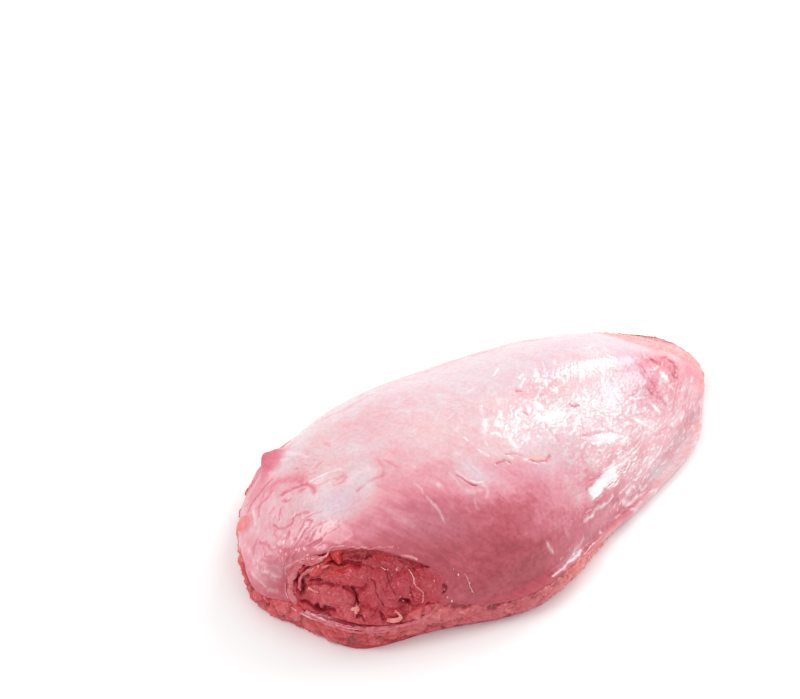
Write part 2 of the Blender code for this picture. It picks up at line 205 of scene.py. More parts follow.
# Creases in the silverskin: paths in plan, half width in millimetres, strength.
CREASES = [
    ([(-50.6, 10.6), (-48.6, 10.8), (-47.4, 9.4), (-46, 7.5), (-44.8, 6.1)], 1, 0.6),
    ([(-49.8, 6.2), (-47.5, 5.5), (-45.5, 4.9), (-44.1, 3.8), (-43.6, 2.2),
     (-43.8, 0.8)], 0.55, 1),
    ([(-46.6, 3.4), (-44.9, 3.2)], 0.4, 0.6),
    ([(-50, 4.4), (-49.7, 3.5), (-49.1, 3.4)], 0.28, 0.9),
    ([(-54.5, 8.8), (-52, 8.6), (-50.8, 9.4), (-49.6, 10.2)], 0.5, 0.6),
    ([(-53.8, 4.3), (-52.5, 4.7)], 0.3, 0.5), ([(-52.8, 1), (-52, 2.2), (-51.1, 3)], 0.35, 0.6),
    ([(-51.9, 1), (-51.6, 2.4)], 0.25, 0.5),
    ([(-58, 0), (-57.2, -2), (-56.3, -4.2), (-54.6, -5), (-52.4, -3.6)], 0.35, 0.8),
    ([(-54.3, 0.8), (-53.8, -0.9), (-52.8, -1.9), (-51.2, -2.2), (-50.4, -1.6)], 0.3, 0.8),
    ([(-50.4, -1.5), (-49.6, -1.1), (-48.6, -1.5)], 0.35, 1),
    ([(-47.9, -2), (-47.2, -2.6)], 0.3, 0.6),
    ([(-53.3, -7.6), (-50.8, -6.7), (-48.6, -5.7), (-47.2, -5.1)], 0.32, 1),
    ([(-51.8, -5.9), (-49.6, -4.7), (-48.3, -3.9), (-47.6, -4.5)], 0.28, 0.9),
    ([(-54.6, -5.8), (-53.2, -7.3), (-51.6, -8.3), (-50, -7.6)], 0.5, 0.8),
    ([(-50.6, -9.4), (-48.4, -9.7), (-47.3, -9.9)], 0.3, 0.8),
    ([(-49.6, -8.6), (-48, -8), (-46.8, -7.4)], 0.25, 0.5),
    ([(-60.2, -3), (-58.9, -6), (-57.4, -9.4)], 0.3, 0.8),
    ([(-58.9, -3.4), (-57.6, -6.2), (-56.2, -8.6)], 0.3, 0.7),
    ([(-41, 6.9), (-39.2, 7.2)], 0.35, 0.4),
    ([(-42.8, 2.2), (-40.2, 1.4), (-38.4, 0.6), (-37, 0.2)], 0.3, 0.5),
    ([(-36.6, 1.2), (-37.2, 0.4), (-37, -0.6)], 0.2, 0.35),
    ([(-39.8, -0.6), (-38, -0.9), (-36.6, -0.7)], 0.3, 0.4),
    ([(-35.8, -4.8), (-33, -4.5), (-29.8, -4.7)], 0.35, 0.45),
    ([(-29, -0.4), (-28.6, -2.6), (-29.6, -4.8)], 0.3, 0.3),
    ([(-27.4, -1.6), (-26.4, -3.6), (-25.8, -4.2)], 0.3, 0.35),
    ([(-36.1, 11.8), (-35.8, 10.2)], 0.4, 0.35),
    ([(-14.2, -12), (-13, -13.6), (-12, -14.8), (-11.2, -15.1)], 0.25, 0.9),
    ([(-7.4, -17.8), (-6.5, -18.8)], 0.3, 0.4),
    ([(-4.8, -12), (-2.6, -11.7), (-1.4, -12.2)], 0.3, 0.6),
    ([(-1.6, -10.4), (0.8, -10.6), (2.4, -11.2)], 0.25, 0.4),
    ([(3.6, -12.6), (5.4, -13.2), (7.4, -13), (8.8, -12.2)], 0.35, 0.8),
    ([(13.2, 2), (12.6, -0.8), (11, -3.2), (10.8, -6), (12, -9)], 0.55, 0.28),
    ([(18.8, -1.9), (19.4, -2.7), (20.8, -2.4)], 0.35, 1), ([(8.2, 4.4), (9, 4.1)], 0.3, 0.7),
    ([(7.1, -1.6), (7.8, -2.6)], 0.4, 0.5),
    ([(19, -9.2), (22.4, -8.8), (25.6, -8.2), (29, -8.3)], 0.4, 0.25),
    ([(15.6, -18.3), (18.4, -16.9), (20.2, -16)], 0.35, 0.7),
    ([(16, -21), (20.4, -19.4), (24, -18)], 0.3, 0.8),
    ([(41.8, 7), (42, 4.4), (43, 2.2), (43.6, 1.2)], 0.8, 0.6),
    ([(45.8, 8), (47.4, 7), (48.8, 8.6), (50.6, 9.2)], 0.6, 1),
    ([(50.2, 9), (52, 8), (51.4, 6.4), (50.4, 5.2)], 0.6, 0.9),
    ([(44, 10), (43.8, 8.4), (44.6, 6.6)], 0.7, 0.6),
    ([(41, 1), (42.8, -0.4), (44.6, -0.8)], 0.5, 0.5),
    ([(36, -6.6), (39.2, -6.8), (42, -5.6), (45, -4.4)], 0.35, 0.3),
    ([(56.5, -0.4), (55.4, -2.6), (54.2, -4.4)], 0.5, 0.6),
    ([(-12, -27.2), (-6, -27.4), (0, -26.6), (6, -25)], 0.6, 0.5),
    ([(-56.6, 11), (-54.4, 12.4), (-52, 12.6), (-49.4, 13.4)], 0.35, 0.5),
    ([(-55.6, 6.4), (-54, 9), (-51.6, 11.6)], 0.3, 0.6),
    ([(-48.6, -3.4), (-46.4, -3.6), (-44.4, -4.6)], 0.25, 0.5),
    ([(-49.4, -6.8), (-46.8, -6.6), (-44.6, -7.2)], 0.25, 0.6),
    ([(-55.2, -1), (-54.8, -3), (-53.4, -4.2)], 0.25, 0.6),
    ([(-58, 1.5), (-59.4, 0.7), (-59.7, -1.1)], 0.24, 0.6),
    ([(-55.5, -4.6), (-55.6, -6.5), (-57.1, -7), (-58.4, -5.4)], 0.26, 0.8),
    ([(-58.6, -5.8), (-57.4, -8.7), (-57, -11)], 0.24, 0.9),
    ([(-54.3, -7.9), (-55.9, -9.4), (-56.2, -11.1)], 0.26, 0.8),
    ([(-60.1, -3), (-59.6, -6.3), (-58.1, -10.3)], 0.22, 0.8),
    ([(-54.2, -2.9), (-56.4, -3.4)], 0.24, 0.6),
    ([(-56.9, -1.1), (-58.1, -1.5), (-58.1, -3.7), (-57.3, -5.3)], 0.22, 0.7),
    ([(-53.5, -9.1), (-52.2, -8.3), (-50.8, -8.5)], 0.22, 0.7),
    ([(12, 24), (4, 25), (-6, 24)], 0.4, 0.35), ([(-20, 22), (-28, 21), (-34, 23)], 0.45, 0.35),
    ([(26, 22), (20, 25), (14, 29)], 0.4, 0.35),
]

# White strands, flecks and flakes on it, in the same form: partly white threads of
# membrane, partly painted highlights and glints.
STRANDS_AND_HIGHLIGHTS = [
    ([(5.8, 11.6), (7, 12.4), (8.1, 13.2)], 0.28, 0.8), ([(10.6, 8.2), (12, 9)], 0.3, 0.7),
    ([(9.6, 5.2), (11, 6.6), (11.8, 7.8)], 0.3, 0.8),
    ([(14, 7.3), (15.2, 8.6), (15.8, 9.8)], 0.3, 0.9), ([(15.6, 3.6), (15.9, 4.8)], 0.4, 0.9),
    ([(20.9, 10), (21.4, 10.9)], 0.35, 1), ([(17.2, 8), (18.2, 10), (18.7, 11.6)], 0.22, 0.5),
    ([(13.6, 5.2), (14.4, 6.3)], 0.25, 0.8), ([(16.2, 6.6), (16.3, 6.9)], 0.3, 0.9),
    ([(11.4, 0.8), (13, 2.4), (14.6, 3.4)], 0.3, 0.8), ([(16.2, 2.2), (17.6, 2.3)], 0.5, 0.9),
    ([(-1.8, 8.4), (0, 9.4)], 0.3, 0.3), ([(23.4, 6), (23.9, 7.4)], 0.3, 0.8),
    ([(-2.2, -1.2), (-3.2, -2.8), (-4, -3.9)], 0.55, 1), ([(-2.2, 1), (-1.6, 3)], 0.4, 0.5),
    ([(2.6, 2.2), (3.2, 3.4)], 0.5, 0.5), ([(1.3, -1.4), (1.6, 0)], 0.4, 0.9),
    ([(-0.4, -3.3), (0.3, -2.6)], 0.45, 0.8),
    ([(-2.4, -4.8), (-1, -5.2), (-0.8, -6.2)], 0.35, 0.9),
    ([(0.8, -6.8), (0.9, -8.2), (1.7, -9.3)], 0.55, 1), ([(10.9, -0.6), (11.3, -1.4)], 0.8, 1),
    ([(11, -4.3), (13, -4), (15, -4.4)], 0.6, 1), ([(10.2, -3.8), (9.8, -2.6)], 0.35, 0.8),
    ([(15.8, -8.4), (17, -7.9), (17.6, -7.4)], 0.3, 1), ([(2.4, -12.2), (2.8, -12.2)], 0.4, 1),
    ([(22.6, -9.9), (24.6, -9.5), (26.6, -9.6)], 0.7, 1),
    ([(16.2, -18.7), (18.6, -17.9), (20.8, -16.8)], 0.4, 1),
    ([(27, -16.6), (30, -15.2)], 0.22, 0.8), ([(25.5, -18), (28, -17.2), (31, -15.9)], 0.25, 0.9),
    ([(12.6, -22.7), (16.3, -21.1), (20.1, -19.4), (22.5, -18)], 0.2, 0.8),
    ([(25.9, -17.9), (28.7, -16.7), (31.4, -15.6)], 0.2, 0.8),
    ([(26.5, -19.4), (28.3, -18.9), (30.5, -17.8)], 0.3, 0.8),
    ([(5.7, -28.9), (8.9, -26.4), (11.9, -24.5)], 0.22, 0.6),
    ([(32.4, -16.5), (35.8, -15.6)], 0.22, 0.8), ([(32, -14.6), (34, -13.8)], 0.25, 0.8),
    ([(0.6, -31.6), (4, -30), (7.6, -28.2), (10.4, -26.6)], 0.3, 1),
    ([(1.2, -27), (2.2, -27.3)], 0.25, 0.6), ([(41, -2.2), (42.2, -2.7)], 0.4, 1),
    ([(46.6, 4.6), (47.6, 3.8)], 0.35, 1), ([(45.2, 5.6), (46.6, 6.4)], 0.3, 0.8),
    ([(47.6, 2.6), (48.8, 2.2)], 0.3, 0.8), ([(55.4, 5.6), (56.4, 6.4)], 0.25, 0.9),
    ([(49, -1.6), (50.8, -0.4)], 0.22, 0.9),
    ([(50.8, -6.6), (51.8, -4.6), (52.4, -2.4)], 0.5, 0.6),
    ([(55.4, 2.8), (54.6, -0.4)], 0.25, 0.5), ([(34.5, -5.4), (36, -5.8)], 0.4, 0.8),
    ([(-31.6, -12.6), (-30, -15.2), (-28, -17.8)], 0.6, 0.22),
    ([(-24, -9.8), (-22.6, -14), (-21.6, -17), (-21.2, -19.6)], 0.2, 0.6),
    ([(-26.2, -0.6), (-25, -3), (-24, -4.4)], 0.25, 0.3),
    ([(-22.4, -5.8), (-22.2, -6.4)], 0.4, 0.5),
    ([(-15.9, -10.8), (-15.2, -12.4), (-14.9, -13.8)], 0.2, 0.6),
    ([(-14.2, -11), (-12.8, -13.2), (-11.2, -14.6), (-10, -15)], 0.22, 0.8),
    ([(-10, -11), (-9, -13)], 0.3, 0.5),
    ([(-14, -15.6), (-13.2, -15.9), (-12.6, -16.2)], 0.6, 0.9),
    ([(-11.6, -16.2), (-10.8, -16.4)], 0.4, 0.5),
    ([(-9.8, -15.4), (-9.4, -16.6), (-9.9, -17.8)], 0.4, 0.6),
    ([(-13, -17.6), (-13.4, -19.2), (-12.9, -19.6)], 0.25, 0.4),
    ([(-19.3, -12.2), (-19, -12.3)], 0.4, 0.9), ([(-12.2, -6.6), (-11.8, -7.4)], 0.3, 0.6),
    ([(-9.6, -1.2), (-9, -0.8)], 0.35, 0.8), ([(-8.9, -4), (-8.4, -4.7)], 0.25, 0.7),
    ([(-7.4, -7.8), (-6.6, -9), (-6, -9.9)], 0.3, 0.8), ([(-5.1, -6.6), (-4.9, -7.4)], 0.25, 0.6),
    ([(-10.6, 2.4), (-9.2, 3.2), (-8.2, 3.6)], 0.25, 0.6), ([(-7.8, 0), (-7.2, 1.2)], 0.2, 0.5),
    ([(-1.2, -11), (-0.4, -11.6)], 0.3, 0.6),
    ([(-43.4, 4), (-40.6, 3.5), (-38.4, 2.9), (-36.8, 2.2)], 0.3, 0.8),
    ([(-42.8, 3), (-40.4, 2.7)], 0.25, 0.6), ([(-40.4, 0.8), (-39.8, 1.2)], 0.3, 0.6),
    ([(-56.9, 4.6), (-56.6, 6.4), (-55.7, 8.6), (-55.2, 9.8)], 0.26, 0.8),
    ([(-43.2, 18.6), (-43, 16.2), (-42, 13.8), (-41.2, 11.4)], 0.5, 0.6),
    ([(-45, 17.6), (-44.4, 15.4)], 0.4, 0.5), ([(-48.4, 16.4), (-47.8, 14)], 0.3, 0.4),
    ([(-47.4, -7.2), (-45, -7.8), (-42.6, -8.2)], 0.5, 0.4),
    ([(-55.6, -9.6), (-53.2, -10.4), (-51, -11)], 0.3, 0.4),
    ([(-61.6, -3), (-60.9, -6)], 0.2, 0.55), ([(-60.8, -6.6), (-59.8, -8.8)], 0.18, 0.6),
    ([(-59.8, -9.4), (-58.4, -11.4)], 0.2, 0.5), ([(-60.6, -1.6), (-60, -4)], 0.16, 0.4),
    ([(-59.6, -5.2), (-58.6, -7.4)], 0.18, 0.5), ([(-58.2, -8.2), (-57, -10)], 0.18, 0.45),
    ([(-36.2, -1.9), (-34.2, -1), (-31.8, -1.2), (-30.6, -2.6), (-31.2, -3.9)], 0.7, 0.5),
]

# More patches: where the cut band is paler and darker, where the silverskin stands out
# further, the lump of fat, the fold on the rim and the thin ear of skin on the blunt end,
# and where the silverskin is hardly wet.
BAND_PATCHES = [
    (-46, -27, 5, 4, 0, -0.35), (-52, -20, 4, 4, 0, -0.25), (-31, -30.5, 5, 3, 0, 0.15),
    (-1, -34, 9, 3, 0, 0.45),
]
FULLER = [(-59.2, -8, 3, 4.5, 25, 1)]
FAT_LUMP = [(-58.1, 8.9, 1.7, 2.6, -15, 1.1)]
RIM_FOLD = [(-60.4, 2, 0.9, 4, 6, 1)]
EAR = [(-46.3, 19.7, 2.5, 1.2, 34, 1), (-43.8, 21.1, 1.5, 1, 34, 0.25)]
DRY_PATCHES = [(-40, -8, 5.5, 4.5, 0, 1.2), (-57, -9, 3.5, 2.5, -40, 0.8)]

# The front edge of the thin end, in plan: the skin hangs over it in straight fibres.
SKIRT_LINE = [(2, -33), (17.5, -24.5), (35, -16), (51, -6.5), (58, 2.5)]

# How far parts of the silverskin stand out from the smooth body, or lie below it.
FAT_GRAIN_RISE = 0.45 * MM
CRUMPLE_RISE = 0.09 * MM
EAR_RISE = 3.1 * MM
SKIN_WAVE = 0.30 * MM
SKIN_SWELL = 0.12 * MM
SHEET_BED = 0.3 * MM  # where a finer sheet lies over it
SHEET_LIFT = 0.03 * MM

# Sheets with a finer grid lie on the dome where the silverskin is crinkled: name, middle,
# outline in plan anticlockwise, columns and rows. Each lies over the ones before it.
SHEETS = [
    ("crown_fascia", (4, -6), [
        (22, -6), (22, 4), (22, 12), (12, 15.5), (0, 11), (-10, 3), (-15, -7), (-15, -17),
        (-8, -24), (3, -27.6), (10, -25.6), (17, -21.5), (22, -17)], 290, 298),
    ("thin_end_fascia", (32, -5), [
        (50, -5), (56, 4), (55, 9), (48, 13), (38, 15), (27, 16), (19, 13), (16, 6), (15, -2),
        (13, -10), (10, -18), (10.5, -22.5), (14, -23.2), (20, -20.9), (27, -17.6),
        (40, -11.4)], 300, 288),
    ("blunt_end_fascia", (-45, 4), [
        (-27, 3), (-28, 9), (-33, 15), (-40, 18.5), (-47, 18.5), (-54, 13.5), (-58, 7),
        (-59.8, 1), (-60, -3), (-59.3, -6.4), (-58, -9.4), (-56.2, -10.6), (-51, -9.6),
        (-44, -11), (-37, -10), (-30, -6)], 296, 288),
]


def unit_colour(name, description, default):
    """A colour property with three linear channels."""
    return FloatVectorProperty(name=name, description=description, default=default,
                               subtype="COLOR", size=3, min=0.0, max=1.0)


def length(name, description, default):
    """A length property in metres, shown in the scene's units."""
    return FloatProperty(name=name, description=description, default=default, min=0.0,
                         subtype="DISTANCE", unit="LENGTH", precision=5)


class CheekSizes(bpy.types.PropertyGroup):
    """Sizes of the cheek and of what shows on it."""

    length: length("Length", "Length of the cheek", float(SOLID_SIZE[0]))
    width: length("Width", "Width of the cheek", float(SOLID_SIZE[1]))
    height: length("Height", "Height of the dome", float(SOLID_SIZE[2]))
    lobule: length("Lobule", "Width of a muscle bundle on the cut edge", 3.0 * MM)
    band_relief: length("Band relief", "Depth of the creases between bundles", 1.15 * MM)
    crinkle: length("Crinkle", "Height of the silverskin's fine folds", 0.14 * MM)
    wrinkle: length("Wrinkle", "Depth of the creases in the silverskin", 0.28 * MM)


class CheekColours(bpy.types.PropertyGroup):
    """Colours of the cheek's tissues."""

    deep: unit_colour("Deep", "Darkest muscle seen through thin silverskin", (0.34, 0.040, 0.060))
    rose: unit_colour("Rose", "Dark muscle seen through thin silverskin", (0.46, 0.075, 0.105))
    dusk: unit_colour("Dusk", "Where the veil begins over dark muscle", (0.56, 0.13, 0.175))
    pink: unit_colour("Pink", "Half veiled muscle", (0.70, 0.25, 0.31))
    blush: unit_colour("Blush", "Veil with pink showing through", (0.72, 0.39, 0.43))
    veil: unit_colour("Veil", "Milky silverskin", (0.69, 0.555, 0.59))
    lilac: unit_colour("Lilac", "Bluish silverskin over dark muscle", (0.66, 0.44, 0.54))
    peach: unit_colour("Peach", "Silverskin with fat beneath", (0.82, 0.46, 0.42))
    flush: unit_colour("Flush", "Vivid flesh close under thin skin", (0.74, 0.17, 0.24))
    # White: whitish folds of membrane, and painted highlights on folds, flakes and strands.
    white: unit_colour("White", "White folds and flecks", (0.96, 0.89, 0.91))
    fat: unit_colour("Fat", "Pale orange-pink fat", (0.80, 0.33, 0.31))
    fat_deep: unit_colour("Deep fat", "Redder fat", (0.78, 0.17, 0.15))
    meat: unit_colour("Cut meat", "Muscle on the cut edge and in the tear", (0.45, 0.030, 0.048))
    # Pale meat: painted light on the tops of the lumps, partly paler tissue.
    lit_pale_meat: unit_colour("Pale meat", "The lumps of the cut muscle", (0.60, 0.112, 0.135))
    bright_red: unit_colour("Bright red", "Fresh red muscle", (0.60, 0.045, 0.045))
    # Gap: painted shade in the gaps between muscle bundles.
    gap: unit_colour("Gap", "Gaps between muscle bundles", (0.21, 0.004, 0.013))
    lip: unit_colour("Lip", "The silverskin's torn edge", (0.70, 0.26, 0.28))
    strand: unit_colour("Strand", "The smooth strand below the tear", (0.60, 0.15, 0.18))
    shred: unit_colour("Shred", "Salmon-coloured shreds", (0.78, 0.28, 0.25))
    floor: unit_colour("Floor", "Pale studio floor", (0.95, 0.95, 0.95))


class CheekStage(bpy.types.PropertyGroup):
    """Camera and lights."""

    elevation: FloatProperty(name="Elevation", description="How far the camera looks down",
                             default=math.radians(48.0), subtype="ANGLE", unit="ROTATION")
    heading: FloatProperty(name="Heading", description="The camera's direction, from +Y to +X",
                           default=math.radians(25.0), subtype="ANGLE", unit="ROTATION")
    distance: length("Distance", "From the camera to the cheek", 0.80)
    key_power: FloatProperty(name="Key light", description="Power of the light behind the thin end",
                             default=3.8, min=0.0, subtype="POWER")
    right_power: FloatProperty(name="Right light", default=1.8, min=0.0, subtype="POWER",
                               description="Power of the light off the thin end")
    left_power: FloatProperty(name="Left light", description="Power of the light off the blunt end",
                              default=2.6, min=0.0, subtype="POWER")
    room: FloatProperty(name="Room", description="Brightness of the room", default=0.84, min=0.0)


# Numbers on arrays


def smooth_step(low, high, value):
    """Rises from 0 to 1 between low and high along a cubic with level ends."""
    t = np.clip((value - low) / (high - low), 0, 1)
    return t * t * (3 - 2 * t)


def smooth_max(a, b, blend):
    """The larger of a and b, with the corner between them rounded over blend."""
    return 0.5 * (a + b + np.sqrt((a - b) ** 2 + blend ** 2))


def unit(vectors):
    """The vectors at length one."""
    return vectors / np.maximum(np.linalg.norm(vectors, axis=-1, keepdims=True), 1e-12)


def closed_curve(values, turn):
    """A smooth closed curve through evenly spaced values, read at turn (0 to 1): on each
    span the cubic that has the slope of its neighbours at both ends."""
    values = np.asarray(values, float)
    count = len(values)
    place = np.mod(turn, 1.0) * count
    start = np.floor(place).astype(int)
    t = place - start
    before, here = values[(start - 1) % count], values[start % count]
    after, beyond = values[(start + 1) % count], values[(start + 2) % count]
    return here + 0.5 * t * (
        after - before
        + t * (2 * before - 5 * here + 4 * after - beyond
               + t * (3 * (here - after) + beyond - before))
    )


def closed_reach(outline, angle):
    """How far a closed outline is from its zero point in the direction of angle."""
    turns = np.arange(720) / 720
    x, y = (closed_curve(column, turns) for column in zip(*outline))
    return np.interp(angle, np.arctan2(y, x), np.hypot(x, y), period=2 * np.pi)


def lattice_random(corner, salt):
    """A fixed random number, 0 to 1, for each corner of an endless cubic lattice. salt is any
    whole number, and another salt gives another pattern."""
    mixed = (corner * np.array([73856093, 19349663, 83492791])).sum(axis=-1) + salt * 7919
    mixed = (mixed ^ (mixed >> 13)) & 0x7FFFFFFF
    mixed = (mixed * 1274126177) & 0x7FFFFFFF
    return ((mixed ^ (mixed >> 16)) & 0xFFFFFF) / 0xFFFFFF


def smooth_noise(points, cell, salt):
    """Smooth noise from -1 to 1: random numbers on a lattice, blended across each cell."""
    place = points / cell
    corner = np.floor(place).astype(np.int64)
    blend = place - corner
    blend = blend * blend * (3 - 2 * blend)
    total = 0.0
    for step in np.ndindex(2, 2, 2):
        share = np.prod(np.where(step, blend, 1 - blend), axis=-1)
        total = total + share * lattice_random(corner + step, salt)
    return 2 * total - 1


def clouds(points, cell, salt):
    """Smooth noise in three sizes, each half as wide and half as strong as the last."""
    return sum(smooth_noise(points, cell / 2 ** k, salt + k) / 2 ** k for k in range(3)) / 1.6


def lobules(points, cell, salt):
    """Rounded lumps, 0 in the creases and 1 on the lumps: in each lattice cell lies one
    random seed, and the height grows with the lead of the nearest seed over the next."""
    place = points / cell
    corner = np.floor(place).astype(np.int64)
    nearest = np.full(points.shape[:-1], 9.0)
    second = nearest.copy()
    for step in np.ndindex(3, 3, 3):
        cell_corner = corner + step - 1
        seed = cell_corner + np.stack([lattice_random(cell_corner, salt + k) for k in range(3)],
                                      axis=-1)
        distance = np.linalg.norm(place - seed, axis=-1)
        second = np.minimum(second, np.maximum(nearest, distance))
        nearest = np.minimum(nearest, distance)
    return np.sqrt(np.clip(1.8 * (second - nearest), 0, 1))


def nearby_seeds(points, normals, heading, cell, salt):
    """One random seed lies in each cell of a lattice. For each of the 27 cells round every
    point: how far the point is from the seed along the heading in plan, across it and away
    from the surface, and six random numbers of that seed."""
    ahead = np.stack([np.cos(heading), np.sin(heading), 0 * heading], axis=-1)
    ahead = unit(ahead - normals * (ahead * normals).sum(axis=-1, keepdims=True))
    side = np.cross(normals, ahead)
    place = points / cell
    corner = np.floor(place).astype(np.int64)
    for step in np.ndindex(3, 3, 3):
        cell_corner = corner + step - 1
        chance = [lattice_random(cell_corner, salt + k) for k in range(6)]
        offset = (place - cell_corner - np.stack(chance[:3], axis=-1)) * cell
        yield [(offset * axis).sum(axis=-1) for axis in (ahead, side, normals)], chance


def scattered(points, normals, heading, cell, half_length, half_width, salt, spread, share=1.0):
    """Short bent strokes strewn over a surface, 0 beside them and up to 1 along them: round
    each seed the height falls off along, across and away from the surface. spread is how
    far one may turn from the heading in degrees, and share how many seeds have a stroke."""
    best = np.zeros(points.shape[:-1])
    for (a, b, c), chance in nearby_seeds(points, normals, heading, cell, salt):
        turn = math.radians(spread) * (2 * chance[3] - 1)
        u, v = a * np.cos(turn) + b * np.sin(turn), b * np.cos(turn) - a * np.sin(turn)
        v = v + (chance[4] - 0.5) * u * u / half_length
        size = 0.5 + 0.5 * chance[5]
        level = (u / (half_length * size)) ** 2 + (v / half_width) ** 2 + (c / (0.5 * cell)) ** 2
        stroke = np.clip(1 - level, 0, 1) ** 1.5 * size * (chance[4] <= share)
        best = best + stroke - best * stroke
    return best


def long_lobules(points, normals, heading, cell, stretch, salt):
    """Puckers with thin creases between them, as lobules, but drawn out along the heading
    by stretch and as much narrower across it."""
    nearest = np.full(points.shape[:-1], 9.0)
    second = nearest.copy()
    for (a, b, c), chance in nearby_seeds(points, normals, heading, cell, salt):
        distance = np.sqrt((a / stretch) ** 2 + (b * stretch) ** 2 + c * c) / cell
        second = np.minimum(second, np.maximum(nearest, distance))
        nearest = np.minimum(nearest, distance)
    return np.sqrt(np.clip(1.6 * (second - nearest), 0, 1))


def distance_to(x, y, path):
    """Distance from places to a path of straight pieces."""
    near = np.full(x.shape, np.inf)
    for (x0, y0), (x1, y1) in zip(path, path[1:]):
        dx, dy = x1 - x0, y1 - y0
        t = np.clip(((x - x0) * dx + (y - y0) * dy) / (dx * dx + dy * dy), 0, 1)
        near = np.minimum(near, (x - x0 - t * dx) ** 2 + (y - y0 - t * dy) ** 2)
    return np.sqrt(near)


def drawn(x, y, marks, widen=1.0):
    """Drawn marks, up to 1 along their paths: bell curves of the distance."""
    height = 0.0 * x
    for path, half_width, strength in marks:
        bell = np.exp(-(distance_to(x, y, path) / (half_width * widen)) ** 2)
        height = np.maximum(height, strength * bell)
    return height


def oval_place(x, y, middle_x, middle_y, half_a, half_b, heading):
    """Places in an oval's own two directions, as shares of its half sizes."""
    turn = math.radians(heading)
    return (((x - middle_x) * math.cos(turn) + (y - middle_y) * math.sin(turn)) / half_a,
            ((y - middle_y) * math.cos(turn) - (x - middle_x) * math.sin(turn)) / half_b)


def painted(x, y, patches):
    """Soft oval patches added up: bell curves with two half sizes and a heading."""
    total = 0.0 * x
    for *oval, amount in patches:
        u, v = oval_place(x, y, *oval)
        total = total + amount * np.exp(-u * u - v * v)
    return total


def grain_heading(x, y):
    """Heading of the fine folds in radians: the listed ones, blended by nearness. A
    fold has no front or back, so their doubled angles are blended."""
    along, across = 1e-9 + 0.0 * x, 0.0 * x
    for mark_x, mark_y, heading in GRAIN:
        near = np.exp(-((x - mark_x) ** 2 + (y - mark_y) ** 2) / 36.0) + 1e-7
        along = along + near * math.cos(math.radians(2 * heading))
        across = across + near * math.sin(math.radians(2 * heading))
    return 0.5 * np.arctan2(across, along)


# The smooth body


def plan_offset(share_x, share_y):
    """From shares of half the length and width to metres from the crown."""
    return (share_x - CROWN[0]) * SOLID_SIZE[0] / 2, (share_y - CROWN[1]) * SOLID_SIZE[1] / 2


CROWN_PLACE = np.array([CROWN[0] * SOLID_SIZE[0] / 2, CROWN[1] * SOLID_SIZE[1] / 2, 0.0])


def dome_height(x, y):
    """Height of the dome over a place given from the crown: a superellipse from the crown
    to the foot, fuller towards the blunt end and more of a wedge towards the thin one."""
    angle = np.arctan2(y, x)
    foot = [plan_offset(*point) for point in DOME_FOOT]
    thin_end = np.cos(angle)
    level = (np.hypot(x, y) / closed_reach(foot, angle)) ** (2.05 - 0.05 * thin_end)
    return SOLID_SIZE[2] * np.clip(1 - level, 0, 1) ** (0.50 + 0.02 * thin_end)


def cut_edge(turn):
    """The cut edge at turn (0 to 1): place from the crown, reach and height of the band."""
    share_x, share_y, band = (closed_curve(column, turn) for column in zip(*CUT_EDGE))
    edge_x, edge_y = plan_offset(share_x, share_y)
    return edge_x, edge_y, np.hypot(edge_x, edge_y), band * MM


def body_surface(turn, ring):
    """Points of the smooth body. turn goes once round the cheek; ring goes from the crown
    (0) over the dome to the silverskin's edge (1), down the cut band to the foot (2) and
    under the cheek to the middle of the underside (3)."""
    edge_x, edge_y, reach, band = cut_edge(turn)
    skin_edge = 1 - LEDGE / reach
    foot = 1 - FOOT_TUCK / reach

    over = skin_edge * (1 - (1 - np.clip(ring, 0, 1)) ** 1.3)
    top = smooth_max(dome_height(over * edge_x, over * edge_y), band, SKIRT_BLEND * over ** 4)

    band_top = smooth_max(dome_height(skin_edge * edge_x, skin_edge * edge_y), band,
                          SKIRT_BLEND * skin_edge ** 4)
    down = np.clip(ring - 1, 0, 1)
    a, b = (1 - down) ** 3, 3 * down * (1 - down) ** 2
    c, d = 3 * down ** 2 * (1 - down), down ** 3
    band_share = a * skin_edge + (b + c) * (1 + 0.4 * MM / reach) + d * foot
    band_height = (a + 0.92 * b + 0.25 * c) * band_top

    under = foot * (1 - np.clip(ring - 2, 0, 1))
    share = np.where(ring <= 1, over, np.where(ring <= 2, band_share, under))
    height = np.where(ring <= 1, top, np.where(ring <= 2, band_height, 0.0))
    return CROWN_PLACE + np.stack([share * edge_x, share * edge_y, height], axis=-1)


def dome_points(x, y):
    """Points of the smooth dome over plan places in millimetres."""
    turns = np.arange(1440) / 1440
    edge_x, edge_y, reach, band = cut_edge(turns)
    off_x, off_y = x * MM - CROWN_PLACE[0], y * MM - CROWN_PLACE[1]
    angle, edge_angle = np.arctan2(off_y, off_x), np.arctan2(edge_y, edge_x)
    over = np.hypot(off_x, off_y) / np.interp(angle, edge_angle, reach, period=2 * np.pi)
    band = np.interp(angle, edge_angle, band, period=2 * np.pi)
    height = smooth_max(dome_height(off_x, off_y), band, SKIRT_BLEND * over ** 4)
    return CROWN_PLACE + np.stack([off_x, off_y, height], axis=-1)


def grid_normals(points, wrap):
    """Unit normals of a grid of points, from the steps to the neighbours. wrap says that
    the last column joins the first."""
    down = np.gradient(points, axis=0)
    if wrap:
        side = (np.roll(points, -1, axis=1) - np.roll(points, 1, axis=1)) / 2
    else:
        side = np.gradient(points, axis=1)
    return unit(np.cross(down, side))


def upward_normals(points):
    """Unit normals on the upper side of an open grid."""
    normals = grid_normals(points, wrap=False)
    return normals * np.sign(normals[..., 2].mean())


def tear_place(points):
    """Places in the tear's own directions: along it, down the flank and out of it, in
    metres."""
    offset = points - TEAR_MIDDLE
    return offset @ TEAR_ALONG, offset @ TEAR_DOWN, offset @ TEAR_OUT


def tear_level(points):
    """0 in the middle of the tear and 1 on its outline."""
    across, down, out = tear_place(points)
    level = np.hypot(across, down) / MM / closed_reach(TEAR_EDGE, np.arctan2(down, across))
    return np.where(np.abs(out) > TEAR_REACH, 9.0, level)


